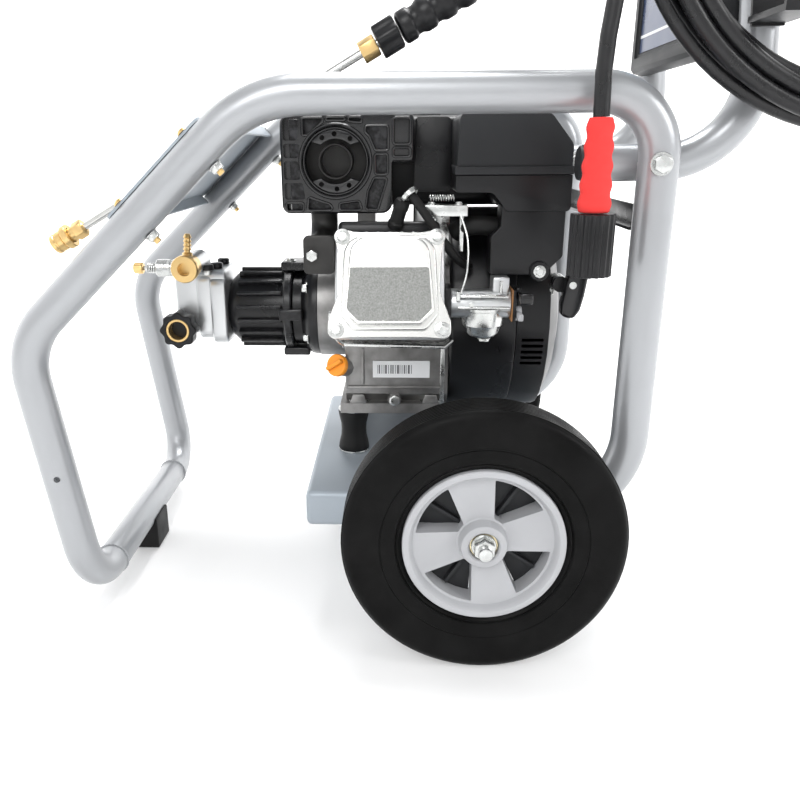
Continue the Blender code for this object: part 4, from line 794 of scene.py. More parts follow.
# ---- wheels
@dataclass
class Wheel:
    """A moulded four-spoke rim with a solid ribbed tyre."""

    name: str
    side: int
    x: float = 0.068
    radius: float = 0.127
    width: float = 0.044
    rim: float = 0.0725
    middle: float = 0.219
    spokes_at: float = -12.0

    def turned(self, profile: Sequence[Point], steps: int) -> Shape:
        """A shape turned on this wheel's axis; heights run out of the machine."""
        shape = lathe(profile, (0, 0, 0), Along.Y, steps, ring=True)
        if self.side < 0:
            shape.move(Matrix.Scale(-1, 4, (0, 1, 0))).outward()
        return shape.shift(self.x, self.side * self.middle, self.radius)

    def tyre(self) -> None:
        """Tyre with tread ribs, a rounded shoulder and rings on its walls."""
        half, seat, top = self.width / 2, self.rim + SKIN, self.radius
        wall = [(seat, half - .006), (seat + .0012, half - .0042), (seat + .004, half - .0022),
            (seat + .0052, half - .003), (seat + .0064, half - .0012), (seat + .0085, half - .0006),
            (.086, half - .0002), (.0915, half - .0001), (.0919, half - .0007), (.0926, half - .0007),
            (.093, half - .0002), (.1085, half - .0001), (.11, half - .0004),
            (.118, half - .0006), (.1212, half - .0014), (.124, half - .003), (.1254, half - .0046),
            (0.1262, half - 0.006)]
        tread = []
        ribs, reach = 9, half - 0.0072
        for k in range(ribs):
            start = reach - 2 * reach * k / (ribs - 1)
            if k:
                tread += [(top - .0022, start + .0024), (top - .0004, start + .0015)]
            tread += [(top, start + 0.0009), (top, start - 0.0009)]
            if k < ribs - 1:
                tread += [(top - .0004, start - .0015), (top - .0022, start - .0024)]
        other = [(r, -h) for r, h in reversed(wall)]
        piece(f"tyre_{self.name}", self.turned(wall + tread + other, 96), TYRE, f"wheel_{self.name}",
            [f"wheel_tyre_{self.name}"], 30)

    def window(self, low: float, high: float, spread_out: float, spread_in: float, outer: float, inner: float) -> Shape:
        """A rounded opening between two spokes, as a solid that cuts it."""
        fan = []
        for k in range(9):
            turn = math.radians(-spread_out + spread_out * 2 * k / 8)
            fan.append((outer * math.cos(turn), outer * math.sin(turn)))
        for k in range(5):
            turn = math.radians(spread_in - spread_in * 2 * k / 4)
            fan.append((inner * math.cos(turn), inner * math.sin(turn)))
        shape = slab(fan, low, high, Along.Y)
        upright = [e for e in shape.mesh.edges
            if abs(e.verts[0].co.y - e.verts[1].co.y) > 0.001 and e.calc_face_angle(0) > 0.6]
        bmesh.ops.bevel(shape.mesh, geom=upright, offset=0.0014, offset_type="OFFSET", segments=3, profile=0.5,
            affect="EDGES", clamp_overlap=True, material=-1)
        return shape

    def hub_and_spokes(self) -> None:
        """Rim: an outer lip, a step, a recessed dish with four fan spokes, and a hub boss."""
        half, rim, bore = self.width / 2, self.rim, 0.0083
        face = [(bore, half - .007), (.0128, half - .007), (.0132, half - .0012), (.0145, half), (.0185, half),
            (.02, half - .001), (.0212, half - .005), (.0222, half - .011), (.0235, half - .0118),
            (.061, half - .01), (.0628, half - .0092), (.064, half - .006), (.0655, half - .0024),
            (.0668, half - .0012), (.0712, half - .0012), (.0722, half - .002), (rim, half - .0045)]
        back = [(bore, .006 - half), (.018, .006 - half), (.0195, -.012), (.024, -.01), (.063, -.01),
            (.065, -.012), (.0665, .006 - half), (.068, .0045 - half), (.0715, .0045 - half),
            (rim, 0.006 - half)]
        body = self.turned(face + list(reversed(back)), 96)
        centre = Matrix.Translation((self.x, self.side * self.middle, self.radius))
        tools = []
        for k in range(4):
            turn = Matrix.Rotation(math.radians(45 + self.spokes_at + 90 * k), 4, "Y")
            tools.append(self.window(-.03, .03, 25, 10, .0608, .0238).move(centre @ turn))
        piece(f"rim_{self.name}", body.cut(*tools), GREY_PLASTIC, f"wheel_{self.name}",
            [f"wheel_rim_{self.name}"], 34, 0.0007)
        # Ribs and back plates in each window are part of the rim's moulding, but are charcoal where the rim is grey:
        # painted shade that darkens the window pockets.
        ribs = Shape()
        for k in range(4):
            turn = Matrix.Rotation(math.radians(45 + self.spokes_at + 90 * k), 4, "Y")
            low, high = sorted((self.side * -0.0078, self.side * -0.001))
            ribs.add(block((.024, low, -.0016), (.0585, high, .0016)).soften(.0005, 2, 60).move(centre @ turn))
            plate = self.window(*sorted((self.side * -.0098, self.side * -.0076)), 24, 13, .0615, .0236)
            ribs.add(plate.move(centre @ turn))
        piece(f"rim_ribs_painted_shade_{self.name}", ribs, DARK_PLASTIC, f"wheel_{self.name}", edge=0.0)
        seat = ring((0, -.0062, 0), (0, -.004, 0), .0126, .0084, 40, .0004)
        if self.side < 0:
            seat.move(Matrix.Scale(-1, 4, (0, 1, 0))).outward()
        piece(f"bearing_{self.name}", seat.shift(self.x, self.side * (self.middle + half - 0.0006), self.radius),
            YELLOW_ZINC, f"wheel_{self.name}")

    def build(self) -> None:
        """Makes the wheel."""
        self.tyre()
        self.hub_and_spokes()


@dataclass
class Axle:
    """The axle with washers and nuts at both ends."""

    x: float = 0.068
    z: float = 0.127
    inner: float = 0.197
    outer: float = 0.241

    def build(self) -> None:
        """Makes the axle."""
        def at(y: float) -> tuple[float, float, float]:
            """A point on the axle."""
            return (self.x, y, self.z)

        shape = bar(at(-self.outer - .0145), at(self.outer + .0145), .0062, 40, .0012)
        shape.add(bar(at(-self.outer + .002), at(self.outer - .002), .0079, 40, .0006))
        for side in (-1, 1):
            for k in range(3):
                y = side * (self.outer + 0.0085 + 0.0013 * k)
                shape.add(ring(at(y), at(y + side * .0007), .0066, .0055, 32, .0002))
        piece("axle_bar", shape, ZINC, replaces=["axle"])
        ends = Shape()
        for side in (-1, 1):
            ends.add(ring(at(side * (self.outer - .004)), at(side * (self.outer - .0022)), .0112, .0079, 40,
                0.0004))
            nut = bar(at(side * (self.outer - .002)), at(side * (self.outer + .0068)), .01, 6, .0009)
            ends.add(nut)
            ends.add(ring(at(side * (self.inner - .0009)), at(side * (self.inner - .0029)), .0135, .0079, 40,
                0.0004))
        piece("axle_nuts", ends, ZINC)


# ---- engine
@dataclass
class Engine:
    """Crankcase, cylinder, valve cover, starter, tank, mounts and what is bolted to them."""

    crank_y: float = 0.035
    crank_z: float = 0.287
    cylinder_x: float = -0.017
    tilt: float = math.radians(18)
    seat: float = 0.1215
    head_end: float = 0.172

    def leaning(self) -> Matrix:
        """Matrix of the cylinder: local Z runs out along it, X with the crankshaft."""
        turn = Matrix.Rotation(math.radians(90) - self.tilt, 4, "X")
        return Matrix.Translation((self.cylinder_x, self.crank_y, self.crank_z)) @ turn

    def mounts(self) -> None:
        """Four waisted rubber mounts with steel plates."""
        rubber, plates = Shape(), Shape()
        for sx in (-1, 1):
            for sy in (-1, 1):
                spot = (-.01 + sx * .047, .04 + sy * .081, 0)
                profile = [(.0165, .1425), (.017, .144), (.016, .15), (.0142, .158), (.0138, .165),
                    (.0142, .172), (.016, .18), (.017, .186), (.0165, .1875)]
                rubber.add(lathe([(0, 0.1425), *profile, (0, 0.1875)], spot, Along.Z, 40))
                for low, high in ((.1403, .1424), (.1876, .1897)):
                    plates.add(bar((spot[0], spot[1], low), (spot[0], spot[1], high), 0.0168, 40, 0.0005))
        piece("mount_rubbers", rubber, RUBBER, replaces=[f"engine_mount_{k}" for k in range(1, 5)])
        piece("mount_plates", plates, ZINC)

    def crankcase(self) -> None:
        """Casting, base flange bolts, drain plug, bracket under the cylinder and a plain label."""
        trued("crankcase", CASE_METAL, "machine", 0.0022)
        bolts = Shape()
        for x, y in ((-.0505, -.052), (.0265, -.052), (-.0505, .13), (.0265, .13)):
            bolts.add(hex_bolt((x, y, .2013), (0, 0, 1), .007, .0095, .0112))
        bolts.add(hex_bolt((-.012, -.0687, .2065), (0, -1, 0), .0062, .0022, 0.0))
        for y, z in ((-.03, .325), (-.04, .262), (.1, .325), (.1, .252)):
            bolts.add(hex_bolt((-.0643, y, z), (-1, 0, 0), .0052, .0045, .0075))
        piece("case_bolts", bolts, ZINC)
        face = -0.0625
        boss = Shape()
        for x in (-0.0505, 0.0265):
            boss.add(slab([(x - .009, .2015), (x + .009, .2015), (x + .006, .211), (x - .006, .211)],
                -0.0637, face, Along.Y).soften(0.0006, 2, 40))
        boss.add(block((-.0615, -.064, .218), (.0405, face, .2205)).soften(.0008, 2, 60))
        boss.add(block((-.047, -.064, .2225), (-.044, face, .262)).soften(.0008, 2, 60))
        piece("case_ribs", boss, CASE_METAL)
        sheet = [(-.064, .2688), (.04, .266), (.0475, .274), (.0475, .2765), (.039, .269), (-.064, .2718)]
        bracket = slab(sheet, -0.082, face - 0.0002, Along.Y).soften(0.0006, 2, 30)
        bracket.add(block((.036, -.0645, .201), (.0405, face - .0002, .2655)).soften(.0006, 2, 60))
        bracket.add(pipe(flowing([(-.064, -.074, .269), (-.071, -.08, .277), (-.076, -.086, .291),
            (-.076, -.09, .306)], .004), .0026, 16, .0006))
        piece("lower_bracket", bracket, ZINC)
        piece("data_plate", block((-.035, -.0631, .23), (.025, face - .0001, .2485)).soften(.0003, 1, 60), LABEL_WHITE)
        marks = Shape()
        x = -0.03
        for k, wide in enumerate((1, 2, 1, 1, 3, 1, 2, 2, 1, 3, 1, 1, 2, 1, 3, 1)):
            marks.add(block((x, -.06325, .2345), (x + .0006 * wide, -.063, .244)))
            x += 0.0006 * wide + (0.0016 if k % 3 else 0.0009)
        piece("data_plate_bars", marks, LABEL_INK)
        cap = lathe([(0, .0003), (.0116, .0003), (.0118, .0012), (.0118, .0052), (.011, .0064), (0, .0066)],
            (0, 0, 0), Along.Z, 40)
        blade = block((-.0098, -.0022, .006), (.0098, .0022, .0122)).soften(.0012, 3, 60)
        cap.join(blade)
        lower, upper = Vector((-.058, -.045, .236)), Vector((-.0705, -.068, .2445))
        place = aimed(upper, upper + (upper - lower)) @ Matrix.Rotation(math.radians(35), 4, "Z")
        piece("oil_cap", cap.move(place), ORANGE, "oil_filler_cap", ["oil_filler_cap"], edge=0.0003)

    def cylinder(self) -> None:
        """Finned barrel, head, and the pressed valve cover with its four flange bolts."""
        place = self.leaning()
        core = block((-.04, -.04, self.seat), (.04, .04, self.head_end)).soften(.004, 3, 60)
        core.join(block((-.0515, -.049, .154), (.0515, .049, self.head_end - .0002)).soften(.003, 3, 60))
        case = block((-.084, -.0623, .1), (.074, .118, .3453))
        piece("barrel", core.move(place).cut(case), CAST, replaces=["cylinder"], edge=0.0003)
        fins = Shape()
        for k in range(5):
            low = self.seat + 0.002 + 0.0062 * k
            fins.add(block((-.05, -.048, low), (.05, .048, low + .002)).soften(.0007, 2, 60))
        for k in range(9):
            x = -0.044 + 0.011 * k
            fins.add(block((x - .001, .04, .1555), (x + .001, .05, .171)).soften(.0006, 2, 60))
        piece("barrel_fins", fins.move(place).cut(block((-.084, -.0623, .1), (.074, .118, .3453))), CAST)
        shroud = block((-.05, .0502, .11), (.048, .064, .156)).soften(.005, 4, 60)
        piece("head_shroud", shroud.move(place), BLACK_PLASTIC)
        start = self.head_end + SKIN
        rim = self.loop([(-.058, -.052, 8), (-.035, -.05, 20), (.035, -.05, 20), (.058, -.052, 8),
            (.057, -.034, 9), (.0465, -.006, 22), (.048, .028, 18), (.0535, .0525, 8),
            (.03, .048, 20), (-.03, .048, 20), (-.0535, .0525, 8), (-.048, .028, 18),
            (-.0465, -.006, 22), (-.057, -.034, 9)])
        flange = slab(rim, start, start + 0.0052, Along.Z).soften(0.0012, 3, 40)
        low = self.loop([(-.034, -.044, 7), (.034, -.044, 7), (.046, -.029, 8), (.042, .044, 18),
            (-.042, .044, 18), (-.046, -.029, 8)])
        ramp = slab(low, start + 0.003, start + 0.011, Along.Z).soften(0.003, 4, 40)
        high = self.loop([(-.029, -.0395, 5), (.029, -.0395, 5), (.0415, -.027, 6), (.035, .04, 16),
            (-.035, .04, 16), (-.0415, -.027, 6)])
        top = slab(high, start + 0.008, 0.197, Along.Z).soften(0.0024, 4, 40)
        inset = self.loop([(-.0275, -.0365, 4), (.0275, -.0365, 4), (.0385, -.0255, 4), (.0352, .012, 1.2),
            (-.0352, .012, 1.2), (-.0385, -.0255, 4)])
        recess = slab(inset, 0.1963, 0.2, Along.Z)
        piece("valve_cover_pressing", flange.join(ramp, top).cut(recess).move(place), CAST_COVER,
            replaces=["valve_cover"], crease=30, edge=0.0004)
        panel = slab([(x * .997, z * .997) for x, z in inset], .195, .19645, Along.Z)
        piece("valve_cover_panel", panel.move(place), CAST_BLAST, edge=0.0002)
        bolts = Shape()
        for x, z in ((-.0495, -.043), (.0495, -.043), (-.044, .0435), (.044, .0435)):
            bolts.add(hex_bolt((x, z, start + .0052), (0, 0, 1), .0056, .005, .0076))
        piece("valve_cover_bolts", bolts.move(place), ZINC)

    def loop(self, corners: Sequence[tuple[float, float, float]]) -> list[tuple[float, float]]:
        """An outline whose corners are rounded by their own radii, given in millimetres."""
        spots = [Vector((x, y, 0)) for x, y, _ in corners]
        path: list[tuple[float, float]] = []
        for k, (x, y, radius) in enumerate(corners):
            ends = [spots[k - 1], spots[k], spots[(k + 1) % len(spots)]]
            arc = bent(ends, (radius / 1000,), 12.0)[1:-1]
            path += [(p.x, p.y) for p in arc]
        return path

    def spark_lead(self) -> None:
        """Plug boot and the thick lead that loops to the fan housing."""
        route = [(.001, -.112, .4225), (.007, -.1135, .415), (.016, -.1135, .403), (.03, -.111, .3825),
            (.043, -.103, .365), (.053, -.089, .355), (.062, -.069, .348)]
        piece("plug_lead", pipe(flowing(route, 0.004), 0.0042, 20, 0.0006), RUBBER, replaces=["spark_plug_lead"])
        profile = [(0, 0), (.0072, 0), (.0078, .0012), (.0078, .005), (.0068, .0064), (.0066, .018),
            (.0074, .0196), (.0074, .025), (.0058, .0285), (0, .0296)]
        boot = lathe(profile, (0, 0, 0), Along.Z, 32).move(aimed((-.0125, -.0985, .39), (-.002, -.111, .425)))
        piece("plug_boot", boot, RUBBER)
        collar = ring((-.0008, -.1128, .4225), (.0022, -.114, .419), .009, .0046, 40, .0008)
        piece("plug_collar", collar, ZINC)

    def starter(self) -> None:
        """Fan housing with its flanged edge, recoil starter with louvres and the pull grip."""
        centre = (0, self.crank_y, self.crank_z)
        shell = lathe([(.03, .0443), (.108, .0443), (.1112, .0462), (.112, .049), (.112, .107),
            (.1113, .111), (.109, .1117), (.109, .0473), (.03, .0473)],
            centre, Along.X, 96, ring=True)
        piece("fan_case", shell, BLACK_CAST, replaces=["fan_housing"], edge=0.0005)
        trued("recoil_cover", BLACK_PLASTIC, "machine", 0.0008)
        guide = lathe([(.0035, 0), (.008, 0), (.008, .02), (.007, .024), (.0035, .0247)],
            (0, 0, 0), Along.Z, 32, ring=True).move(aimed((.152, -.055, .332), (.152, -.0797, .332)))
        piece("recoil_rope_guide", guide, ZINC)
        bolts = Shape()
        for k in range(3):
            turn = math.radians(40 + 120 * k)
            bolts.add(hex_bolt((0.144, self.crank_y + 0.103 * math.cos(turn), self.crank_z + 0.103 * math.sin(turn)),
                (1, 0, 0), 0.005, 0.0045, 0.007))
        piece("recoil_bolts", bolts, ZINC)
        spine = [(.1512, .304), (.1575, .301), (.164, .3012), (.169, .309), (.1722, .323), (.1742, .338),
            (.1772, .352), (.1784, .36), (.176, .366), (.17, .3676), (.164, .367),
            (.1592, .356), (.156, .344), (.153, .33), (.1508, .315)]
        piece("pull_grip", slab(spine, -0.0975, -0.0802, Along.Y).soften(0.0052, 5, 20), GLOSS_PLASTIC, "recoil_grip",
            ["recoil_grip"])
        piece("pull_grip_insert", bar((.16, -.0982, .334), (.16, -.0978, .334), .0035, 24), ZINC, "recoil_grip")
        trued("crankshaft_flywheel", DARK_STEEL, "crankshaft", 0.0008)
        trued("engine_switch", DARK_PLASTIC, "engine_switch", 0.0008)

    def tank(self) -> None:
        """Fuel tank with a rolled seam and a knurled cap."""
        outline = self.loop([(-.1, .014, 24), (.124, .014, 24), (.124, .154, 24), (-.1, .154, 24)])
        shell = slab(outline, 0.402, 0.494, Along.Z).soften(0.011, 5, 60)
        piece("tank_shell", shell, BLACK_PAINT, replaces=["fuel_tank"], crease=40)
        seam = self.loop([(-.1008, .0132, 25), (.1248, .0132, 25), (.1248, .1548, 25), (-.1008, .1548, 25)])
        piece("tank_seam", slab(seam, 0.4455, 0.4485, Along.Z).soften(0.0008, 3, 60), BLACK_PAINT)
        cap = lathe([(0, .0155), (.016, .0153), (.02, .014), (.0232, .0136), (.025, .0118), (.025, .0003),
            (0, .0003)], (.012, .09, .494), Along.Z, 60)
        for k in range(30):
            turn = math.tau * k / 30
            spot = (.012 + .025 * math.cos(turn), .09 + .025 * math.sin(turn))
            cap.add(bar((*spot, .496), (*spot, .5055), .0014, 12, .0004))
        piece("tank_cap", cap, DARK_PLASTIC, "fuel_cap", ["fuel_cap"])

    def build(self) -> None:
        """Makes the engine."""
        self.mounts()
        self.crankcase()
        self.cylinder()
        self.spark_lead()
        self.starter()
        self.tank()


# ---- exhaust and intake
@dataclass
class Exhaust:
    """Muffler can, its cast guard with ribs and pockets, pipe, flange and heat shield."""

    front: float = -0.08
    eye: tuple[float, float] = (-0.0695, 0.4495)

    def build(self) -> None:
        """Makes the exhaust."""
        loop = Engine().loop
        can = slab(loop([(-.114, .407, 14), (-.018, .407, 14), (-.018, .488, 14), (-.114, .488, 14)]),
            -0.054, 0.006, Along.Y).soften(0.003, 3, 60)
        tail = ring((-.034, .0005, .43), (-.034, .0058, .43), .0085, .006, 32, .0005)
        piece("muffler_can", can, DARK_STEEL, replaces=["muffler"], edge=0.0005)
        route = bent([(-.084, -.047, .408), (-.084, -.047, .374), (-.084, -.104, .366)], (.022,), 8.0)
        run = pipe(route, 0.0135, 36, 0.0008).add(tail)
        piece("exhaust_pipe", run, DARK_STEEL)
        flange = slab(loop([(-.0985, .348, 5), (-.0688, .348, 5), (-.0688, .384, 5), (-.0985, .384, 5)]),
            -0.1175, -0.1105, Along.Y).soften(0.0009, 2, 60)
        piece("exhaust_flange", flange, DARK_STEEL)
        piece("exhaust_bolts", hex_bolt((-.09, -.1178, .366), (0, -1, 0), .0056, .0056, 0.0), ZINC)
        self.guard()
        shield = slab(loop([(.006, .42, 2), (.043, .42, 6), (.043, .49, 6), (.0072, .49, 3)]),
            -0.052, -0.05, Along.Y).soften(0.0007, 2, 60)
        shield.join(block((.006, -.0519, .3453), (.0078, -.044, .425)).soften(.0006, 2, 60))
        piece("shield_sheet", shield, BLACK_PAINT, replaces=["heat_shield"], edge=0.0003)

    def guard(self) -> None:
        """Cast guard: raised ribs round rounded pockets, and a double ring at the outlet."""
        loop = Engine().loop
        low, high, front = (-.1225, .401), (-.015, .493), self.front
        edge = loop([
            (low[0], low[1], 8), (high[0], low[1], 10), (high[0], 0.4495, 2), (0.005, 0.4495, 4),
            (0.005, high[1], 5), (low[0], high[1], 10)])
        shell = slab(edge, front + 0.0035, -0.0302, Along.Y).soften(0.0045, 4, 60)
        inner = slab([(-.1143, .391), (-.0177, .391), (-.0177, .4883), (-.1143, .4883)], front + .01, 0.0, Along.Y)
        pockets, ridges = [], Shape()
        for corners in (
            ((-.1195, .469), (-.106, .469), (-.104, .489), (-.1195, .489)),
            ((-.1195, .453), (-.1055, .453), (-.1035, .466), (-.1195, .466)),
            ((-.1195, .433), (-.1035, .433), (-.1055, .45), (-.1195, .45)),
            ((-.1195, .4145), (-.0995, .4145), (-.1015, .43), (-.1195, .43)),
            ((-.1185, .4035), (-.1015, .4035), (-.101, .4115), (-.1185, .4115)),
            ((-.098, .404), (-.07, .404), (-.076, .41), (-.0965, .417)),
            ((-.0665, .404), (-.044, .404), (-.047, .413), (-.0665, .4105)),
            ((-.041, .4045), (-.029, .4045), (-.0195, .4345), (-.0325, .4345), (-.0385, .422)),
            ((-.0315, .4375), (-.0195, .4375), (-.0195, .4565), (-.032, .4565)),
            ((-.0315, .4595), (-.019, .4595), (-.019, .482), (-.041, .482), (-.041, .476), (-.037, .472)),
            ((-.101, .4735), (-.0955, .4735), (-.081, .4855), (-.081, .4895), (-.101, .4895)),
            ((-.078, .4865), (-.06, .4865), (-.06, .49), (-.078, .49)),
            ((-.057, .4855), (-.044, .4845), (-.044, .49), (-.057, .49)),
            ((-.0145, .4535), (.002, .4535), (.002, .462), (-.0145, .462)),
            ((-.0145, .465), (.002, .465), (.002, .489), (-.0145, .489))):
            rounding = min(2.6, 420 * min((Vector(a) - Vector(b)).length for a, b in zip(corners,
                corners[1:] + corners[:1])))
            outline = loop([(x, z, rounding) for x, z in corners])
            pockets.append(slab(outline, front - 0.001, front + 0.011, Along.Y))
            if corners[0][0] > -0.119:
                path = [(x, front + 0.0036, z) for x, z in outline]
                ridges.add(pipe(path + path[:2], 0.0014, 10))
        centre = (self.eye[0], front, self.eye[1])
        well = bar((centre[0], front - 0.01, centre[2]), (centre[0], front + 0.02, centre[2]), 0.032, 72)
        shell.cut(inner, *pockets, well)
        backing = slab([(-.114, .4035), (-.018, .4035), (-.018, .488), (-.114, .488)], front + .0112,
            front + 0.0124, Along.Y)
        piece("guard_backing", backing.cut(well), BLACK_CAST)
        piece("guard_casting", shell, GUARD_COAT, replaces=["muffler_guard"], edge=0.0008)
        piece("guard_ridges", ridges, GUARD_COAT)
        rings = lathe([(.0316, .01), (.0322, .0012), (.0332, .0002), (.0346, .0002), (.0354, .0012), (.0356, .006),
            (0.035, 0.01)], centre, Along.Y, 72, ring=True)
        rings.add(lathe([(.0288, .011), (.0294, .003), (.03, .0022), (.031, .0022), (.0315, .003), (.0315, .011)],
            centre, Along.Y, 72, ring=True))
        piece("guard_rings", rings, GUARD_COAT)
        plates, holes = Shape(), []
        for middle in (90, 270):
            sector = []
            for radius, angles in ((0.0296, range(-52, 53, 8)), (0.0205, range(44, -45, -8))):
                sector += [(centre[0] + radius * math.cos(math.radians(middle + t)),
                    centre[2] + radius * math.sin(math.radians(middle + t))) for t in angles]
            plates.add(slab(sector, front + 0.0042, front + 0.0078, Along.Y).soften(0.0008, 2, 50))
            for t in (-34, 2, 30):
                spot = math.radians(middle + t)
                x, z = centre[0] + 0.0253 * math.cos(spot), centre[2] + 0.0253 * math.sin(spot)
                holes.append(bar((x, front, z), (x, front + 0.02, z), 0.0021, 20))
        piece("guard_plate", plates.cut(*holes), GUARD_COAT, edge=0.0006)
        lip = lathe([(.0142, .024), (.0145, .003), (.015, .0022), (.016, .0022), (.0165, .0032), (.0168, .024)],
            centre, Along.Y, 56, ring=True)
        lip.add(bar((centre[0], front + 0.0225, centre[2]), (centre[0], front + 0.0255, centre[2]), 0.0155, 40))
        piece("guard_outlet", lip, DARK_STEEL)


@dataclass
class Intake:
    """Air cleaner, carburettor, its levers and the throttle linkage."""

    face: float = 0.1041

    def air_cleaner(self) -> None:
        """Lower case, wave-edged lid band, cover, its knob and screw."""
        loop = Engine().loop
        pan = slab(loop([(.079, .3445, 3), (.131, .3445, 3), (.148, .362, 4), (.148, .41, 1),
            (.088, .41, 1), (.088, .39, 4), (.079, .381, 4)]), -.0985, -.065, Along.Y)
        pan.soften(0.0018, 3, 40)
        band = slab(loop([(.044, .421, 4), (.079, .421, 8), (.088, .41, 8), (.091, .404, 7),
            (.152, .404, 4), (.152, .437, 1), (.044, .437, 1)]), -.1, .004, Along.Y)
        band.soften(0.0016, 3, 40)
        piece("air_case", pan.join(band), BLACK_PLASTIC, replaces=["air_cleaner_base"], edge=0.0003)
        start = 0.4373
        cover = slab(loop([(.0445, start, 1), (.1515, start, 1), (.1515, .464, 10), (.129, .4915, 10),
            (.047, .4925, 7)]), -.0985, .004, Along.Y).soften(.0042, 4, 40)
        rim = slab(loop([(.0432, start, 1), (.1528, start, 1), (.1528, .445, 2), (.0432, .445, 2)]),
            -0.1008, 0.0043, Along.Y).soften(0.0012, 3, 40)
        piece("air_cover", cover.join(rim), DARK_PLASTIC, replaces=["air_cleaner_cover"], crease=40, edge=0.0003)
        knob = lathe([(0, .4985), (.0085, .4983), (.01, .4972), (.0104, .493), (.0112, .4922), (0, .4922)],
            (0.098, -0.047, 0), Along.Z, 40)
        for k in range(12):
            turn = math.tau * k / 12
            spot = (.098 + .0102 * math.cos(turn), -.047 + .0102 * math.sin(turn))
            knob.add(bar((*spot, .4926), (*spot, .4966), .0014, 12, .0004))
        piece("air_cover_knob", knob, BLACK_PLASTIC)
        boss = lathe([(0, 0), (.0095, 0), (.0095, .002), (.0085, .003), (0, .003)], (0, 0, 0), Along.Z, 36)
        boss.move(aimed((.1265, -.0982, .348), (.1265, -.1012, .348)))
        piece("air_case_boss", boss, BLACK_PLASTIC)
        piece("air_case_screw", hex_bolt((.1265, -.1013, .348), (0, -1, 0), .0045, .003, .006), ZINC)
        tube = pipe(flowing([(.086, -.079, .388), (.07, -.08, .39), (.056, -.078, .388),
            (.046, -.072, .382)], .005), .0095, 28, .001)
        piece("breather_tube", tube, RUBBER)

    def carburettor(self) -> None:
        """Body, throat, float bowl, gasket, screws, rods and levers."""
        left = 0.0348
        body = block((.05, -.116, .311), (.096, -.086, .329)).soften(.003, 3, 60)
        body.join(bar((left + .0068, -.104, .318), (.099, -.104, .318), .014, 40, .001),
            block((.081, -.112, .318), (.097, -.088, .3442)).soften(.002, 3, 60),
            bar((.061, -.118, .319), (.061, -.1, .319), .0048, 28, .0006))
        piece("carburettor_body", body, CAST, replaces=["carburettor"], edge=0.0005)
        bowl = lathe([(0, .2832), (.006, .2832), (.012, .2848), (.0158, .2885), (.0172, .294), (.0196, .2965),
            (.0205, .302), (.0207, .311), (.0228, .3118), (.0228, .3145), (0, .3145)],
            (0.074, -0.099, 0), Along.Z, 56)
        bowl.add(block((.048, -.12, .3148), (.0975, -.082, .3172)).soften(.0008, 2, 60))
        piece("float_bowl", bowl, ZINC)
        bits = hex_bolt((.076, -.101, .2832), (0, 0, -1), .0055, .0035, .0065)
        bits.add(bar((.05, -.1195, .327), (.095, -.1195, .327), .0021, 20, .0005))
        bits.add(bar((.094, -.1195, .327), (.0955, -.106, .327), .002, 16, .0004))
        bits.add(block((.046, -.1215, .3225), (.05, -.113, .332)).soften(.0008, 2, 60))
        bits.add(hex_bolt((.061, -.1183, .319), (0, -1, 0), .0028, .0018))
        bits.add(lathe([(.0014, 0), (.0036, 0), (.0036, .0012), (.0014, .0012)], (0, 0, 0), Along.Z, 24,
            ring=True).move(
            aimed((.073, -.1162, .316), (.073, -.1175, .316))))
        bits.add(bar((.088, -.1205, .33), (.088, -.1205, .342), .0014, 14, .0003))
        piece("carburettor_hardware", bits, ZINC)
        spacer = slab([(-.12, .301), (-.09, .301), (-.09, .335), (-.12, .335)], left + .0003, left + .0066,
            Along.X).soften(0.0012, 2, 60)
        piece("heat_insulator", spacer, BLACK_PLASTIC)
        gasket = slab([(-.119, .303), (-.088, .303), (-.088, .333), (-.119, .333)], .0993, .1003, Along.X)
        piece("intake_gasket", gasket, GASKET)
        plate = slab([(-.1185, .304), (-.0885, .304), (-.0885, .3325), (-.1185, .3325)], .1004, .1037, Along.X)
        piece("choke_plate", plate.soften(0.001, 2, 60), BLACK_PLASTIC)

    def levers(self) -> None:
        """Choke and fuel levers, throttle bracket, lever, spring and governor rod."""
        spot = Vector((self.face, -0.106, 0.3275))
        choke = bar(spot, spot + Vector((0.004, 0, 0)), 0.007, 36, 0.0006)
        choke.add(block((self.face + .0002, -.135, .3237), (self.face + .003, -.106, .3313)).soften(.0008, 2, 60),
            block((self.face + .0002, -.138, .3225), (self.face + .0118, -.1302, .3325)).soften(.0018, 3, 60))
        piece("choke_arm", choke, GLOSS_PLASTIC, "choke_lever", ["choke_lever"])
        fuel = Vector((self.face, -0.106, 0.3085))
        tap = bar(fuel, fuel + Vector((0.006, 0, 0)), 0.007, 36, 0.0006)
        tap.add(block((self.face + .0002, -.13, .3053), (self.face + .005, -.106, .3117)).soften(.0012, 3, 60))
        piece("fuel_tap", tap, GREY_PLASTIC, "fuel_valve_lever", ["fuel_valve_lever"])
        plate = block((.0095, -.043, .3453), (.043, -.0412, .404)).soften(.0006, 2, 60)
        plate.join(block((.0095, -.0428, .3453), (.043, -.026, .3475)).soften(.0006, 2, 60))
        plate.add(bar((.027, -.048, .392), (.027, -.042, .392), .003, 24, .0004))
        plate.add(hex_bolt((.016, -.0432, .362), (0, -1, 0), .004, .0032, .0055))
        piece("throttle_plate", plate, ZINC, replaces=["throttle_bracket"])
        lever = ring((.027, -.047, .392), (.027, -.0438, .392), .0085, .0033, 36, .0003)
        lever.add(block((.0335, -.0469, .3897), (.0415, -.0439, .3943)).soften(.0006, 2, 60))
        piece("throttle_arm", lever, ZINC, "throttle_lever", ["throttle_lever"])
        link = Shape()
        link.add(block((.015, -.101, .4085), (.056, -.085, .41)).soften(.0006, 2, 60))
        link.add(block((.015, -.102, .4), (.056, -.1008, .41)).soften(.0005, 2, 60))
        link.add(block((.05, -.086, .365), (.054, -.084, .4095)).soften(.0006, 2, 60))
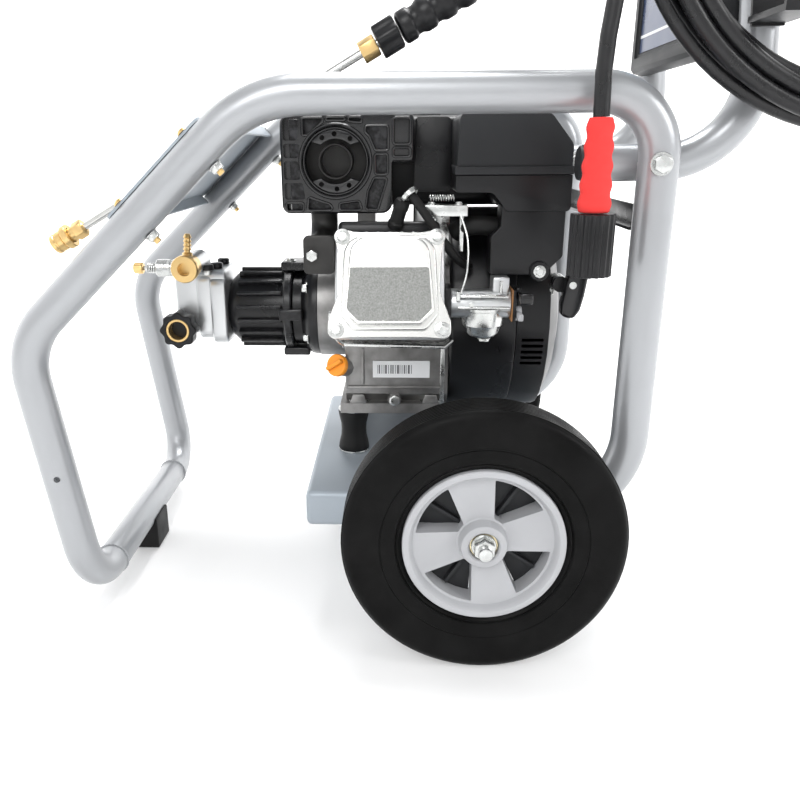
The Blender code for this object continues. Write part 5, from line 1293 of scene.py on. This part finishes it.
        link.add(block((.018, -.086, .385), (.022, -.0655, .4095)).soften(.0006, 2, 60))
        for x in (0.022, 0.048):
            link.add(hex_bolt((x, -.093, .41), (0, 0, 1), .0036, .0028, .005))
        coil = []
        for k in range(12 * 10 + 1):
            turn = math.tau * k / 12
            coil.append((.02 + .024 * k / 120, -.0945 + .0026 * math.cos(turn), .4165 + .0026 * math.sin(turn)))
        link.add(pipe(coil, 0.0005, 8))
        link.add(pipe(flowing([(.048, -.1, .405), (.056, -.108, .38), (.056, -.115, .35),
            (.05, -.119, .329)], .004), .001, 10))
        piece("governor_linkage", link, ZINC)

    def build(self) -> None:
        """Makes the intake side."""
        self.air_cleaner()
        self.carburettor()
        self.levers()


# ---- pump
@dataclass
class Pump:
    """Axial pump: finned housing, clamp band, head, brass fittings, unloader and inlet."""

    y: float = 0.035
    z: float = 0.287
    start: float = -0.2
    end: float = -0.0973

    def housing(self) -> None:
        """Ribbed bell, clamp band with its foot and screws, and the engine flange."""
        a, b = self.start, self.end
        centre = (0, self.y, self.z)
        core = lathe([(0, a + .0003), (.031, a + .0003), (.0385, a + .008), (.0405, a + .016), (.0405, a + .0735),
            (.043, a + .074), (.043, a + .084), (.05, a + .089), (.0535, a + .093),
            (0.0545, b - 0.005), (0.0545, b), (0, b)], centre, Along.X, 72)
        piece("pump_bell", core, BLACK_CAST, replaces=["pump_housing"], edge=0.0006)
        ribs = Shape()
        for k in range(18):
            turn = Matrix.Translation(centre) @ Matrix.Rotation(math.tau * k / 18, 4, "X")
            ribs.add(block((a + .012, -.0019, .037), (a + .062, .0019, .0458)).soften(.0012, 3, 60).move(turn))
        piece("pump_ribs", ribs, BLACK_CAST)
        band = lathe([(.04, a + .064), (.047, a + .064), (.0482, a + .0655), (.0482, a + .0715),
            (.047, a + .073), (.04, a + .073)], centre, Along.X, 72, ring=True)
        for z0, z1 in ((self.z + .044, self.z + .054), (self.z - .053, self.z - .044)):
            band.add(block((a + .06, self.y - .022, z0), (a + .09, self.y + .022, z1)).soften(.002, 3, 60))
        band.add(block((a + .06, self.y - .053, self.z - .006), (a + .086, self.y - .044, self.z + .006)).soften(.002,
            3, 60))
        piece("pump_band", band, BLACK_CAST)
        bolts = Shape()
        bolts.add(hex_bolt((a + .07, self.y - .012, self.z + .0538), (0, 0, 1), .0048, .0035, .0065))
        for turn in (35, 145, 215, 325):
            angle = math.radians(turn)
            spot = (b - 0.0115, self.y + 0.0475 * math.cos(angle), self.z + 0.0475 * math.sin(angle))
            bolts.add(hex_bolt(spot, (-1, 0, 0), 0.0052, 0.006, 0.0075))
        piece("pump_flange_bolts", bolts, ZINC)

    def head(self) -> None:
        """Cast head with its valve caps, ports and bolts."""
        loop = Engine().loop
        y, a = self.y, self.start
        main = slab(loop([(y - .036, .262, 8), (y + .036, .262, 8), (y + .036, .334, 8), (y - .036, .334, 8)]),
            -0.2575, a - 0.0002, Along.X).soften(0.003, 3, 60)
        neck = slab(loop([(y - .04, .2505, 14), (y + .04, .2505, 14), (y + .04, .328, 12), (y - .04, .328, 12)]),
            a - 0.018, a - 0.0002, Along.X).soften(0.003, 3, 60)
        rest = slab(loop([(y - .0385, .256, 12), (y + .0385, .256, 12), (y + .0385, .331, 10), (y - .0385, .331, 10)]),
            a - 0.034, a - 0.016, Along.X).soften(0.004, 3, 60)
        ports = [lathe([(0, -.02), (.013, -.02), (.0118, .012), (.0115, tall), (0, tall)], (x, y - .03, z), Along.Y,
            48).move(
            Matrix.Translation((0, 2 * (y - 0.03), 0)) @ Matrix.Scale(-1, 4, (0, 1, 0))).outward()
            for x, z, tall in ((-.2345, .3412, .0199), (-.25, .2725, .0149))]
        piece("head_casting", main.join(neck, rest, *ports), CAST, replaces=["pump_head"], crease=30, edge=0.0005)
        bolts, caps = Shape(), Shape()
        for x, yy in ((-.213, y - .018), (-.213, y + .018), (-.22, y - .0325)):
            bolts.add(bar((x, yy, .329), (x, yy, .3345), .0048, 28, .0004))
            caps.add(bar((x, yy, .334), (x, yy, .3403), .0068, 32, .0012))
        for yy, z in ((y - .026, .272), (y - .026, .322), (y + .026, .272), (y + .026, .322)):
            bolts.add(hex_bolt((-0.2573, yy, z), (-1, 0, 0), 0.005, 0.0008, 0.0))
            bolts.add(bar((-.2572, yy, z), (-.2579, yy, z), .0062, 28, .0003))
        piece("head_bolts", bolts, ZINC)
        piece("head_caps", caps, BLACK_PLASTIC)

    def outlet(self) -> None:
        """Brass outlet ring with its collar, and the small hose barb."""
        out = Vector((-0.2345, self.y - 0.0503, 0.3412))
        profile = [(.007, .0268), (.007, .015), (0.0, .015), (0.0, .0002), (.0118, .0002), (.0128, .0012),
            (.0128, .01), (.0118, .0112), (.0118, .013), (.014, .0142), (.0145, .0156),
            (.0145, .025), (.0136, .0268)]
        body = lathe(profile, (0, 0, 0), Along.Z, 56, ring=True).move(aimed(out, out + Vector((0, -1, 0))))
        piece("outlet_body", body, BRASS, replaces=["pump_outlet"])
        foot = out + Vector((0, -0.009, 0.009))
        profile = [(0, 0), (.0054, 0), (.0054, .006), (.0034, .0072)]
        for k in range(4):
            low = 0.009 + 0.0042 * k
            profile += [(.0032, low), (.0044, low + .0008), (.0032, low + .0038)]
        profile += [(0.0024, 0.0266), (0, 0.0268)]
        barb = lathe(profile, (0, 0, 0), Along.Z, 36).move(aimed(foot, out + Vector((0.002, -0.009, 0.036))))
        piece("outlet_barb", barb, BRASS)

    def unloader(self) -> None:
        """Unloader barrel, saddle, wound spring, stem and adjusting knob."""
        y, z = self.y - 0.006, 0.3325
        barrel = lathe([(0, 0), (.0092, 0), (.01, .0008), (.01, .007), (.0092, .0078), (.0092, .0092),
            (.01, .01), (.01, .025), (.0092, .0259), (0, .0259)], (0, 0, 0), Along.Z, 48)
        barrel.move(aimed((-0.2583, y, z), (-0.2823, y, z)))
        barrel.join(ring((-.2583, y, z), (-.2628, y, z), .0116, .006, 48, .0008))
        piece("unloader_body", barrel, ZINC, replaces=["unloader"], edge=0.0004)
        coil = []
        turns, steps = 5, 20
        for k in range(turns * steps + 1):
            angle = math.tau * k / steps
            coil.append((-0.2832 - 0.0132 * k / (turns * steps), y + 0.005 * math.cos(angle),
                z + 0.005 * math.sin(angle)))
        piece("unloader_spring", pipe(coil, 0.001, 10, 0.0), ZINC)
        piece("unloader_stem", bar((-.282, y, z), (-.3003, y, z), .0028, 24, .0004), ZINC)
        knob = lathe([(0, 0), (.0052, 0), (.0064, .001), (.0064, .0088), (.0054, .0106), (0, .0109)], (0, 0, 0),
            Along.Z, 40)
        for k in range(16):
            turn = math.tau * k / 16
            spot = (0.0058 * math.cos(turn), 0.0058 * math.sin(turn))
            knob.add(bar((*spot, 0.0012), (*spot, 0.0086), 0.0007, 8, 0.0))
        knob.move(aimed((-0.3006, y, z), (-0.3116, y, z)))
        piece("unloader_dial", knob, BRASS, "unloader_knob", ["unloader_knob"])

    def inlet(self) -> None:
        """Lobed garden-hose swivel with a brass ring in its mouth."""
        x, y, z = -0.25, self.y - 0.0453, 0.2725
        outline = []
        for k in range(96):
            turn = math.tau * k / 96
            reach = 0.019 + 0.0014 * math.cos(8 * turn)
            outline.append((x + reach * math.cos(turn), z + reach * math.sin(turn)))
        nut = slab(outline, y - 0.02, y, Along.Y).soften(0.0016, 3, 40)
        nut.cut(bar((x, y - 0.03, z), (x, y - 0.006, z), 0.013, 48))
        piece("inlet_nut", nut, BLACK_PLASTIC, "inlet_swivel", ["inlet_swivel"], edge=0.0003)
        collar = ring((x, y - .0202, z), (x, y - .006, z), .0129, .01, 48, .0006)
        piece("inlet_ring", collar, BRASS, "inlet_swivel")

    def build(self) -> None:
        """Makes the pump."""
        self.housing()
        self.head()
        self.outlet()
        self.unloader()
        self.inlet()


# ---- handle
@dataclass
class Handle:
    """Folding U handle with its bolts, plugs, label box and hose hook."""

    tube: float = 0.031
    half_width: float = 0.14
    stub: tuple[float, float] = (0.15, 0.448)
    arm: float = 0.2942
    lean: float = math.radians(5)
    top: float = 0.93
    pivot: float = 0.2015

    def arm_x(self, z: float) -> float:
        """X of an arm's centreline at height z."""
        return self.arm - (z - self.stub[1]) * math.tan(self.lean)

    def tubes(self) -> None:
        """The bent tube, its end plugs and the pivot bolts."""
        y, z, top_x = self.half_width, self.stub[1], self.arm_x(self.top)
        corners = [(self.stub[0], -y, z), (self.arm, -y, z), (top_x, -y, self.top), (top_x, y, self.top),
            (self.arm, y, z), (self.stub[0], y, z)]
        shape = pipe(bent(corners, (.072, .06, .06, .072), 5.0), self.tube / 2, 40)
        holes = []
        for side in (-1, 1):
            holes.append(bar((self.pivot, side * (y - 0.03), z), (self.pivot, side * (y + 0.03), z), 0.0053, 28))
            x = self.arm_x(0.6)
            holes.append(bar((x, side * (y - .03), .6), (x, side * (y - .0095), .6), .0034, 24))
        piece("handle_bar", shape.cut(*holes), SILVER, "handle", ["handle_tube"])
        plugs = Shape()
        for side in (-1, 1):
            plugs.add(bar((self.stub[0] - 0.0039, side * y, z), (self.stub[0] + 0.0005, side * y, z), 0.0146, 40,
                0.002))
        piece("handle_plugs", plugs, DARK_PLASTIC, "handle")
        outside, inside = 0.1918, 0.1242
        for name, side in (("near", -1), ("far", 1)):
            def at(across: float) -> tuple[float, float, float]:
                """A point on this bolt's axis."""
                return (self.pivot, side * across, z)

            bolt = bar(at(inside - .009), at(outside + .002), .0049, 28, .0008)
            bolt.add(ring(at(.1558), at(.1582), .009, .005, 36, .0003))
            bolt.add(bar(at(outside), at(outside + 0.0062), 0.0076, 6, 0.0008))
            bolt.add(bar(at(inside), at(inside - 0.007), 0.0088, 6, 0.001))
            bolt.add(ring(at(outside - .0001), at(outside + .0012), .0094, .005, 36, .0003))
            piece(f"handle_pivot_{name}", bolt, ZINC, replaces=[f"handle_bolt_{name}"])

    def label_box(self) -> None:
        """Moulded box between the arms, with a stepped border and a plain coloured label."""
        edge = 0.124
        body = slab([(.256, .544), (.259, .54), (.269, .5372), (.28, .539), (.2885, .544),
            (.2896, .55), (.288, .67), (.286, .6752), (.276, .6796), (.269, .68),
            (.26, .6768), (.256, .672)], -edge, edge, Along.Y).soften(.003, 3, 40)
        well = slab([(-edge + .0125, .5545), (edge - .0125, .5545), (edge - .0125, .662), (-edge + .0125, .662)],
            0.24, 0.259, Along.X).soften(0.002, 3, 60)
        deeper = slab([(-edge + .0165, .5585), (edge - .0165, .5585), (edge - .0165, .658), (-edge + .0165, .658)],
            0.24, 0.2606, Along.X).soften(0.0016, 3, 60)
        piece("box_moulding", body.cut(well, deeper), DARK_PLASTIC, "handle", ["label_box"], edge=0.0006)
        clamp = Shape()
        for side in (-1, 1):
            x = self.arm_x(0.64)
            clamp.add(ring((x, side * self.half_width, 0.625), (x - 0.0012, side * self.half_width, 0.639),
                0.0157 + 0.0006,
                0.0156, 44, 0.0002))
        piece("box_label_sheet", slab([(-edge + .018, .56), (edge - .018, .56), (edge - .018, .6565),
            (-edge + .018, .6565)], .26, .2605, Along.X), LABEL_NAVY, "handle")
        sky = slab([(-edge + .018, .621), (.01, .601), (.07, .626), (edge - .018, .615), (edge - .018, .6565),
            (-edge + .018, .6565)], .25985, .2603, Along.X)
        piece("box_label_sky", sky, LABEL_SKY, "handle")
        band = slab([(-edge + .018, .5745), (edge - .018, .5745), (edge - .018, .5775), (-edge + .018, .5775)],
            0.25985, 0.2603, Along.X)
        piece("box_label_band", band, LABEL_WHITE, "handle")
        piece("box_clamps", clamp, BLACK_PLASTIC, "handle")

    def build(self) -> None:
        """Makes the handle."""
        self.tubes()
        self.label_box()
        trued("hose_hook", BLACK_PLASTIC, "handle", 0.0009)


# ---- lance and gun
@dataclass
class Lance:
    """Steel lance with a brass coupler and nut, and the trigger gun."""

    tip: tuple[float, float, float] = (-0.325, -0.14, 0.3787)
    rise: float = math.radians(29.2)
    radius: float = 0.0035
    grip: float = 0.3615
    gun: float = 0.47

    def place(self) -> Matrix:
        """Matrix of the lance: local X runs up it from the tip, Z to its upper side."""
        return Matrix.Translation(self.tip) @ Matrix.Rotation(-self.rise, 4, "Y")

    def rod(self) -> None:
        """Lance tube, coupler socket with its sliding collar, and the brass hexagon."""
        place = self.place()
        piece("lance_tube", lathe([(0, 0.03), (self.radius, 0.03), (self.radius, self.grip - 0.0003), (0,
            self.grip - 0.0003)],
            (0, 0, 0), Along.X, 32).move(place), ZINC_ROD)
        socket = lathe([(.0032, .0003), (.0086, .0003), (.0092, .0012), (.0092, .004), (.0086, .0046),
            (.0086, .0058), (.0092, .0064), (.0092, .0112), (.0084, .0122), (.0069, .0124),
            (.0069, .025), (.006, .0262), (.006, .033), (.0042, .0345), (.0032, .0345)],
            (0, 0, 0), Along.X, 48, ring=True)
        for low, high, size in ((.0238, .0336, .0086), (.3252, .34, .0095)):
            socket.add(bar((low, 0, 0), (high, 0, 0), size, 6, 0.0009))
        piece("lance_brass", socket.move(place), BRASS, replaces=["lance"])
        collar = lathe([(.0073, .0127), (.0104, .0127), (.011, .0135), (.011, .0181), (.0104, .0189), (.0073, .0189)],
            (0, 0, 0), Along.X, 48, ring=True)
        piece("coupler_sleeve", collar.move(place), BRASS, "coupler_collar", ["coupler_collar"])
        outline = []
        for k in range(84):
            turn = math.tau * k / 84
            reach = 0.0139 + 0.001 * math.cos(6 * turn)
            outline.append((reach * math.cos(turn), reach * math.sin(turn)))
        nut = slab(outline, 0.3412, 0.3606, Along.X).soften(0.0014, 3, 40)
        nut.cut(bar((0.33, 0, 0), (0.37, 0, 0), 0.0048, 32))
        piece("lance_lobed_nut", nut.move(place), BLACK_PLASTIC, "lance_nut", ["lance_nut"], edge=0.0003)

    def gun_parts(self) -> None:
        """Ribbed fore grip, gun body, guard, trigger and latch."""
        place, grip = self.place(), self.grip
        profile: list[Point] = [(0, grip + .0004), (.01, grip + .0004), (.0118, grip + .0012)]
        for k in range(6):
            start = grip + 0.018 * k
            profile += [(.013, start + .0022), (.0135, start + .0036), (.0135, start + .0104), (.013, start + .012),
                (.0117, start + .0132), (.0115, start + .0144), (.0115, start + .0168), (.0118, start + .0178)]
        profile += [(0.0118, self.gun + 0.002), (0, self.gun + 0.002)]
        piece("grip_sleeve", lathe(profile, (0, 0, 0), Along.X, 56).move(place), BLACK_PLASTIC)
        loop = Engine().loop
        gun = self.gun
        hull = slab(loop([(gun + .0002, -.0148, 3), (.6, -.0178, 14), (.633, -.012, 10), (.6418, .01, 14), (.6318,
            .1498, 9),
            (.6, .1558, 5), (.5922, .148, 4), (.5922, .05, 22), (.576, .0182, 10), (gun + .0002, .0148, 3)]),
            -0.0134, 0.0134, Along.Y).soften(0.0058, 5, 40)
        guard = slab([(.5, .01), (.506, .01), (.518, .1), (.534, .138), (.596, .148), (.596, .154),
            (.528, .144), (.512, .104)], -.005, .005, Along.Y).soften(.0015, 3, 60)
        slot = slab([(.556, .0085), (.6, .0085), (.6, .058), (.556, .058)], -.0062, .0062, Along.Y)
        latch = block((.59, -.0039, .082), (.6005, .0039, .123))
        panels = []
        for side in (-1, 1):
            panels.append(slab(loop([(.605, .045, 5), (.629, .05, 5), (.6225, .138, 5), (.603, .138, 5)]),
                *sorted((side * 0.0126, side * 0.02)), Along.Y))
        piece("gun_shell", hull.join(guard).cut(slot, latch, *panels).move(place), BLACK_PLASTIC, replaces=["gun_body"],
            crease=40, edge=0.0004)
        screws = Shape()
        for x, z in ((.486, 0.0), (.56, -.006), (.612, .004), (.606, .146)):
            screws.add(bar((x, -.0132, z), (x, -.0137, z), .003, 24, .0003))
        piece("gun_screws", screws.move(place), ZINC)
        grips = Shape()
        for side in (-1, 1):
            for k in range(9):
                z = 0.054 + 0.0095 * k
                low, high = sorted((side * 0.012, side * 0.0133))
                grips.add(block((.606, low, z), (.6235, high, z + .0045)).soften(.0006, 2, 60))
        piece("gun_grip_ribs", grips.move(place), RUBBER)
        blade = slab(loop([(.567, .0205, 1), (.5722, .0155, 2), (.5802, .0192, 2), (.5812, .03, 5), (.5698, .056, 30),
            (.5618, .09, 30), (.5578, .118, 2), (.5502, .1188, 2), (.5502, .09, 30),
            (.556, .056, 30)]), -.0054, .0054, Along.Y).soften(.0018, 3, 40)
        piece("trigger_blade", blade.move(place), GLOSS_PLASTIC, "trigger", ["trigger"])
        trued("trigger_latch", ORANGE, "trigger_latch", 0.0008)

    def build(self) -> None:
        """Makes the lance and the gun."""
        self.rod()
        self.gun_parts()


# ---- hose
@dataclass
class Hose:
    """High-pressure hose: one cord from its pump-end sleeve up into the coil on the hook."""

    radius: float = 0.0064
    x: float = 0.135
    y: float = -0.211
    sleeve_top: float = 0.4833
    coil: tuple[float, float] = (0.354, 0.68)
    rings: tuple[float, ...] = (0.2054, 0.1928, 0.1802)
    layers: tuple[float, float] = (-0.1973, -0.1833)

    def route(self) -> list[Vector]:
        """The hose's centreline, in the row frame."""
        run = [(self.x, self.sleeve_top), (.134, .515), (.1352, .54), (.138, .564), (.141, .592),
            (.145, .625), (.1475, .648)]
        points = [Vector((x, self.y, z)) for x, z in run]
        cx, cz = self.coil
        turns = [(r,
            layer) for layer in self.layers for r in (self.rings if layer == self.layers[0] else self.rings[::-1])]
        steps = 96
        start = math.radians(180)
        total = len(turns) * steps
        tail = 24
        for k in range(15, total + tail):
            spot = min(k / steps, len(turns) - 1e-6)
            index = int(spot)
            share = spot - index
            radius, layer = turns[index]
            after = turns[min(index + 1, len(turns) - 1)]
            # each turn keeps its ring for two thirds of the way round, then eases over to the next
            ease = max(0.0, (share - 0.66) / 0.34)
            ease = ease * ease * (3 - 2 * ease)
            radius += (after[0] - radius) * ease
            layer += (after[1] - layer) * ease
            angle = start - math.tau * k / steps
            points.append(Vector((cx + radius * math.cos(angle), layer, cz + radius * math.sin(angle))))
        return points

    def build(self) -> None:
        """Makes the hose, its sleeve, its coupling and its gun-end fitting."""
        points = self.route()
        curve = bpy.data.curves.new("hose", "CURVE")
        curve.dimensions = "3D"
        line = curve.splines.new("POLY")
        line.points.add(len(points) - 1)
        for slot, point in zip(line.points, points):
            slot.co = (*point, 1.0)
        line.use_smooth = True
        curve.bevel_depth = self.radius
        curve.bevel_resolution = 6
        curve.use_fill_caps = True
        curve.materials.append(HOSE_RUBBER.material())
        hose = bpy.data.objects.new("hose", curve)
        bpy.context.scene.collection.objects.link(hose)
        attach(hose, "handle")
        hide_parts("hose_run", "hose_coil")
        fitting = self.fitting(points[-1])
        sleeve = self.sleeve()
        coupling = self.coupling()

    def sleeve(self) -> bpy.types.Object:
        """Red strain relief with five scallops down its sides."""
        low, tall, rows = 0.4115, 0.0715, 60
        side = []
        for k in range(1, rows):
            t = k / rows
            side.append((.0128 - .003 * t + .0007 * math.cos(math.tau * (5.0 * t - .5)), low + tall * t))
        profile = [(.0066, low + .0003), (.0112, low + .0003), *side, (.0084, low + tall), (.0066, low + tall)]
        shape = lathe(profile, (0.146, self.y, 0), Along.Z, 48, ring=True)
        return piece("hose_strain_relief", shape, RED, "handle", ["hose_sleeve"], crease=50)

    def coupling(self) -> list[bpy.types.Object]:
        """Fluted pump-end coupling with its brass thread ring."""
        low, high = 0.3615, 0.4109
        outline = []
        for k in range(144):
            turn = math.tau * k / 144
            reach = 0.017 + 0.0008 * max(-1.0, min(1.0, 2.2 * math.cos(18 * turn)))
            outline.append((0.146 + reach * math.cos(turn), self.y + reach * math.sin(turn)))
        grip = slab(outline, low, high, Along.Z)
        mouth = bar((.146, self.y, low - .01), (.146, self.y, low + .022), .0112, 48)
        made = [piece("hose_coupling_grip", grip.soften(0.0007, 2, 60).cut(mouth), BLACK_PLASTIC, "hose_coupling",
            ["hose_coupling"], crease=50)]
        collar = ring((.146, self.y, low + .001), (.146, self.y, low + .019), .0111, .0088, 48, .0006)
        made.append(piece("hose_coupling_thread", collar, BRASS, "hose_coupling"))
        return made

    def fitting(self, end: Vector) -> bpy.types.Object:
        """Gun-end fitting of the hose."""
        fit = lathe([(0.0, -.029), (.01, -.029), (.0109, -.028), (.0109, .003), (.01, .004), (.0084, .005),
            (.0084, .027), (.0075, .0279), (0.0, .0279)], (.557, -.2152, .68), Along.Z, 48)
        return piece("hose_end_fitting", fit, BRASS, "handle", ["hose_gun_fitting"])


# ---- light, floor, camera
def camera() -> None:
    """Puts the camera where the picture is seen from."""
    lens = bpy.data.cameras.new("camera")
    lens.sensor_width = 36.0
    lens.lens = 34.6956
    lens.shift_x, lens.shift_y = 0.04366, 0.00162
    yaw, pitch, roll = -0.0426, 0.3184, -0.0074
    ahead = Vector((math.sin(yaw) * math.cos(pitch), math.cos(yaw) * math.cos(pitch), -math.sin(pitch)))
    right = Vector((math.cos(yaw), -math.sin(yaw), 0.0))
    up = right.cross(ahead)
    right, up = (right * math.cos(roll) + up * math.sin(roll), up * math.cos(roll) - right * math.sin(roll))
    place = Matrix((right, up, -ahead)).transposed().to_4x4()
    place.translation = (-0.0210012, -0.8481371, 0.4624596)
    obj = bpy.data.objects.new("camera", lens)
    bpy.context.scene.collection.objects.link(obj)
    obj.matrix_world = place
    bpy.context.scene.camera = obj


def lamp(name: str, place: Point, aim: Point, size: float, power: float) -> None:
    """A soft square lamp."""
    light = bpy.data.lights.new(name, "AREA")
    light.size = size
    light.energy = power
    obj = bpy.data.objects.new(name, light)
    bpy.context.scene.collection.objects.link(obj)
    obj.matrix_world = Matrix.Translation(place) @ (Vector(aim) - Vector(place)).to_track_quat("-Z",
        "Y").to_matrix().to_4x4()


def studio() -> None:
    """Pale floor, near-white surroundings and soft lamps."""
    world = bpy.data.worlds.new("studio")
    world.use_nodes = True
    world.node_tree.nodes["Background"].inputs["Color"].default_value = (0.93, 0.94, 0.95, 1.0)
    world.node_tree.nodes["Background"].inputs["Strength"].default_value = 0.55
    bpy.context.scene.world = world
    mesh = bpy.data.meshes.new("floor")
    sheet = bmesh.new()
    rows = [[sheet.verts.new((r * math.cos(math.tau * k / 72), r * math.sin(math.tau * k / 72),
        z - 0.0006)) for k in range(72)]
        for r, z in ((0.5, 0), (7.0, 0), (7.8, 0.2), (8.6, 0.9), (8.9, 2.0), (9.0, 8.0))]
    sheet.faces.new(rows[0])
    for inner, outer in zip(rows, rows[1:]):
        for k in range(72):
            sheet.faces.new((inner[k - 1], outer[k - 1], outer[k], inner[k]))
    for face in sheet.faces:
        face.smooth = True
    sheet.to_mesh(mesh)
    sheet.free()
    floor = bpy.data.objects.new("floor", mesh)
    bpy.context.scene.collection.objects.link(floor)
    mesh.materials.append(FLOOR.material())
    floor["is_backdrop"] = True
    lamp("key_lamp", (-0.55, -1.95, 1.75), (0, 0, 0.35), 0.9, 22)
    lamp("side_lamp", (2.0, -1.1, 1.3), (0, 0, 0.35), 0.8, 14)
    lamp("top_lamp", (0.1, 0.5, 2.4), (0, 0, 0.3), 1.1, 55)
    bpy.context.scene.view_settings.view_transform = "Standard"


def main() -> None:
    """Builds the whole scene."""
    logging.basicConfig(level=logging.INFO, format="%(name)s: %(message)s")
    camera()
    Hose().build()
    Cart().build()
    for name, side in (("near", -1), ("far", 1)):
        Wheel(name, side).build()
    Axle().build()
    Engine().build()
    Exhaust().build()
    Intake().build()
    Pump().build()
    Handle().build()
    Lance().build()
    studio()
    record_size()


def record_size() -> None:
    """Works out the size of the frame and of the finished scene side by side; the result is not kept."""
    def plain(value: object) -> object:
        """The same numbers as plain lists."""
        if isinstance(value, (int, float, str)):
            return value
        return [plain(v) for v in value]

    {"cad": plain(CAD_BOX), "scene": plain(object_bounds())}


if __name__ == "__main__":
    main()
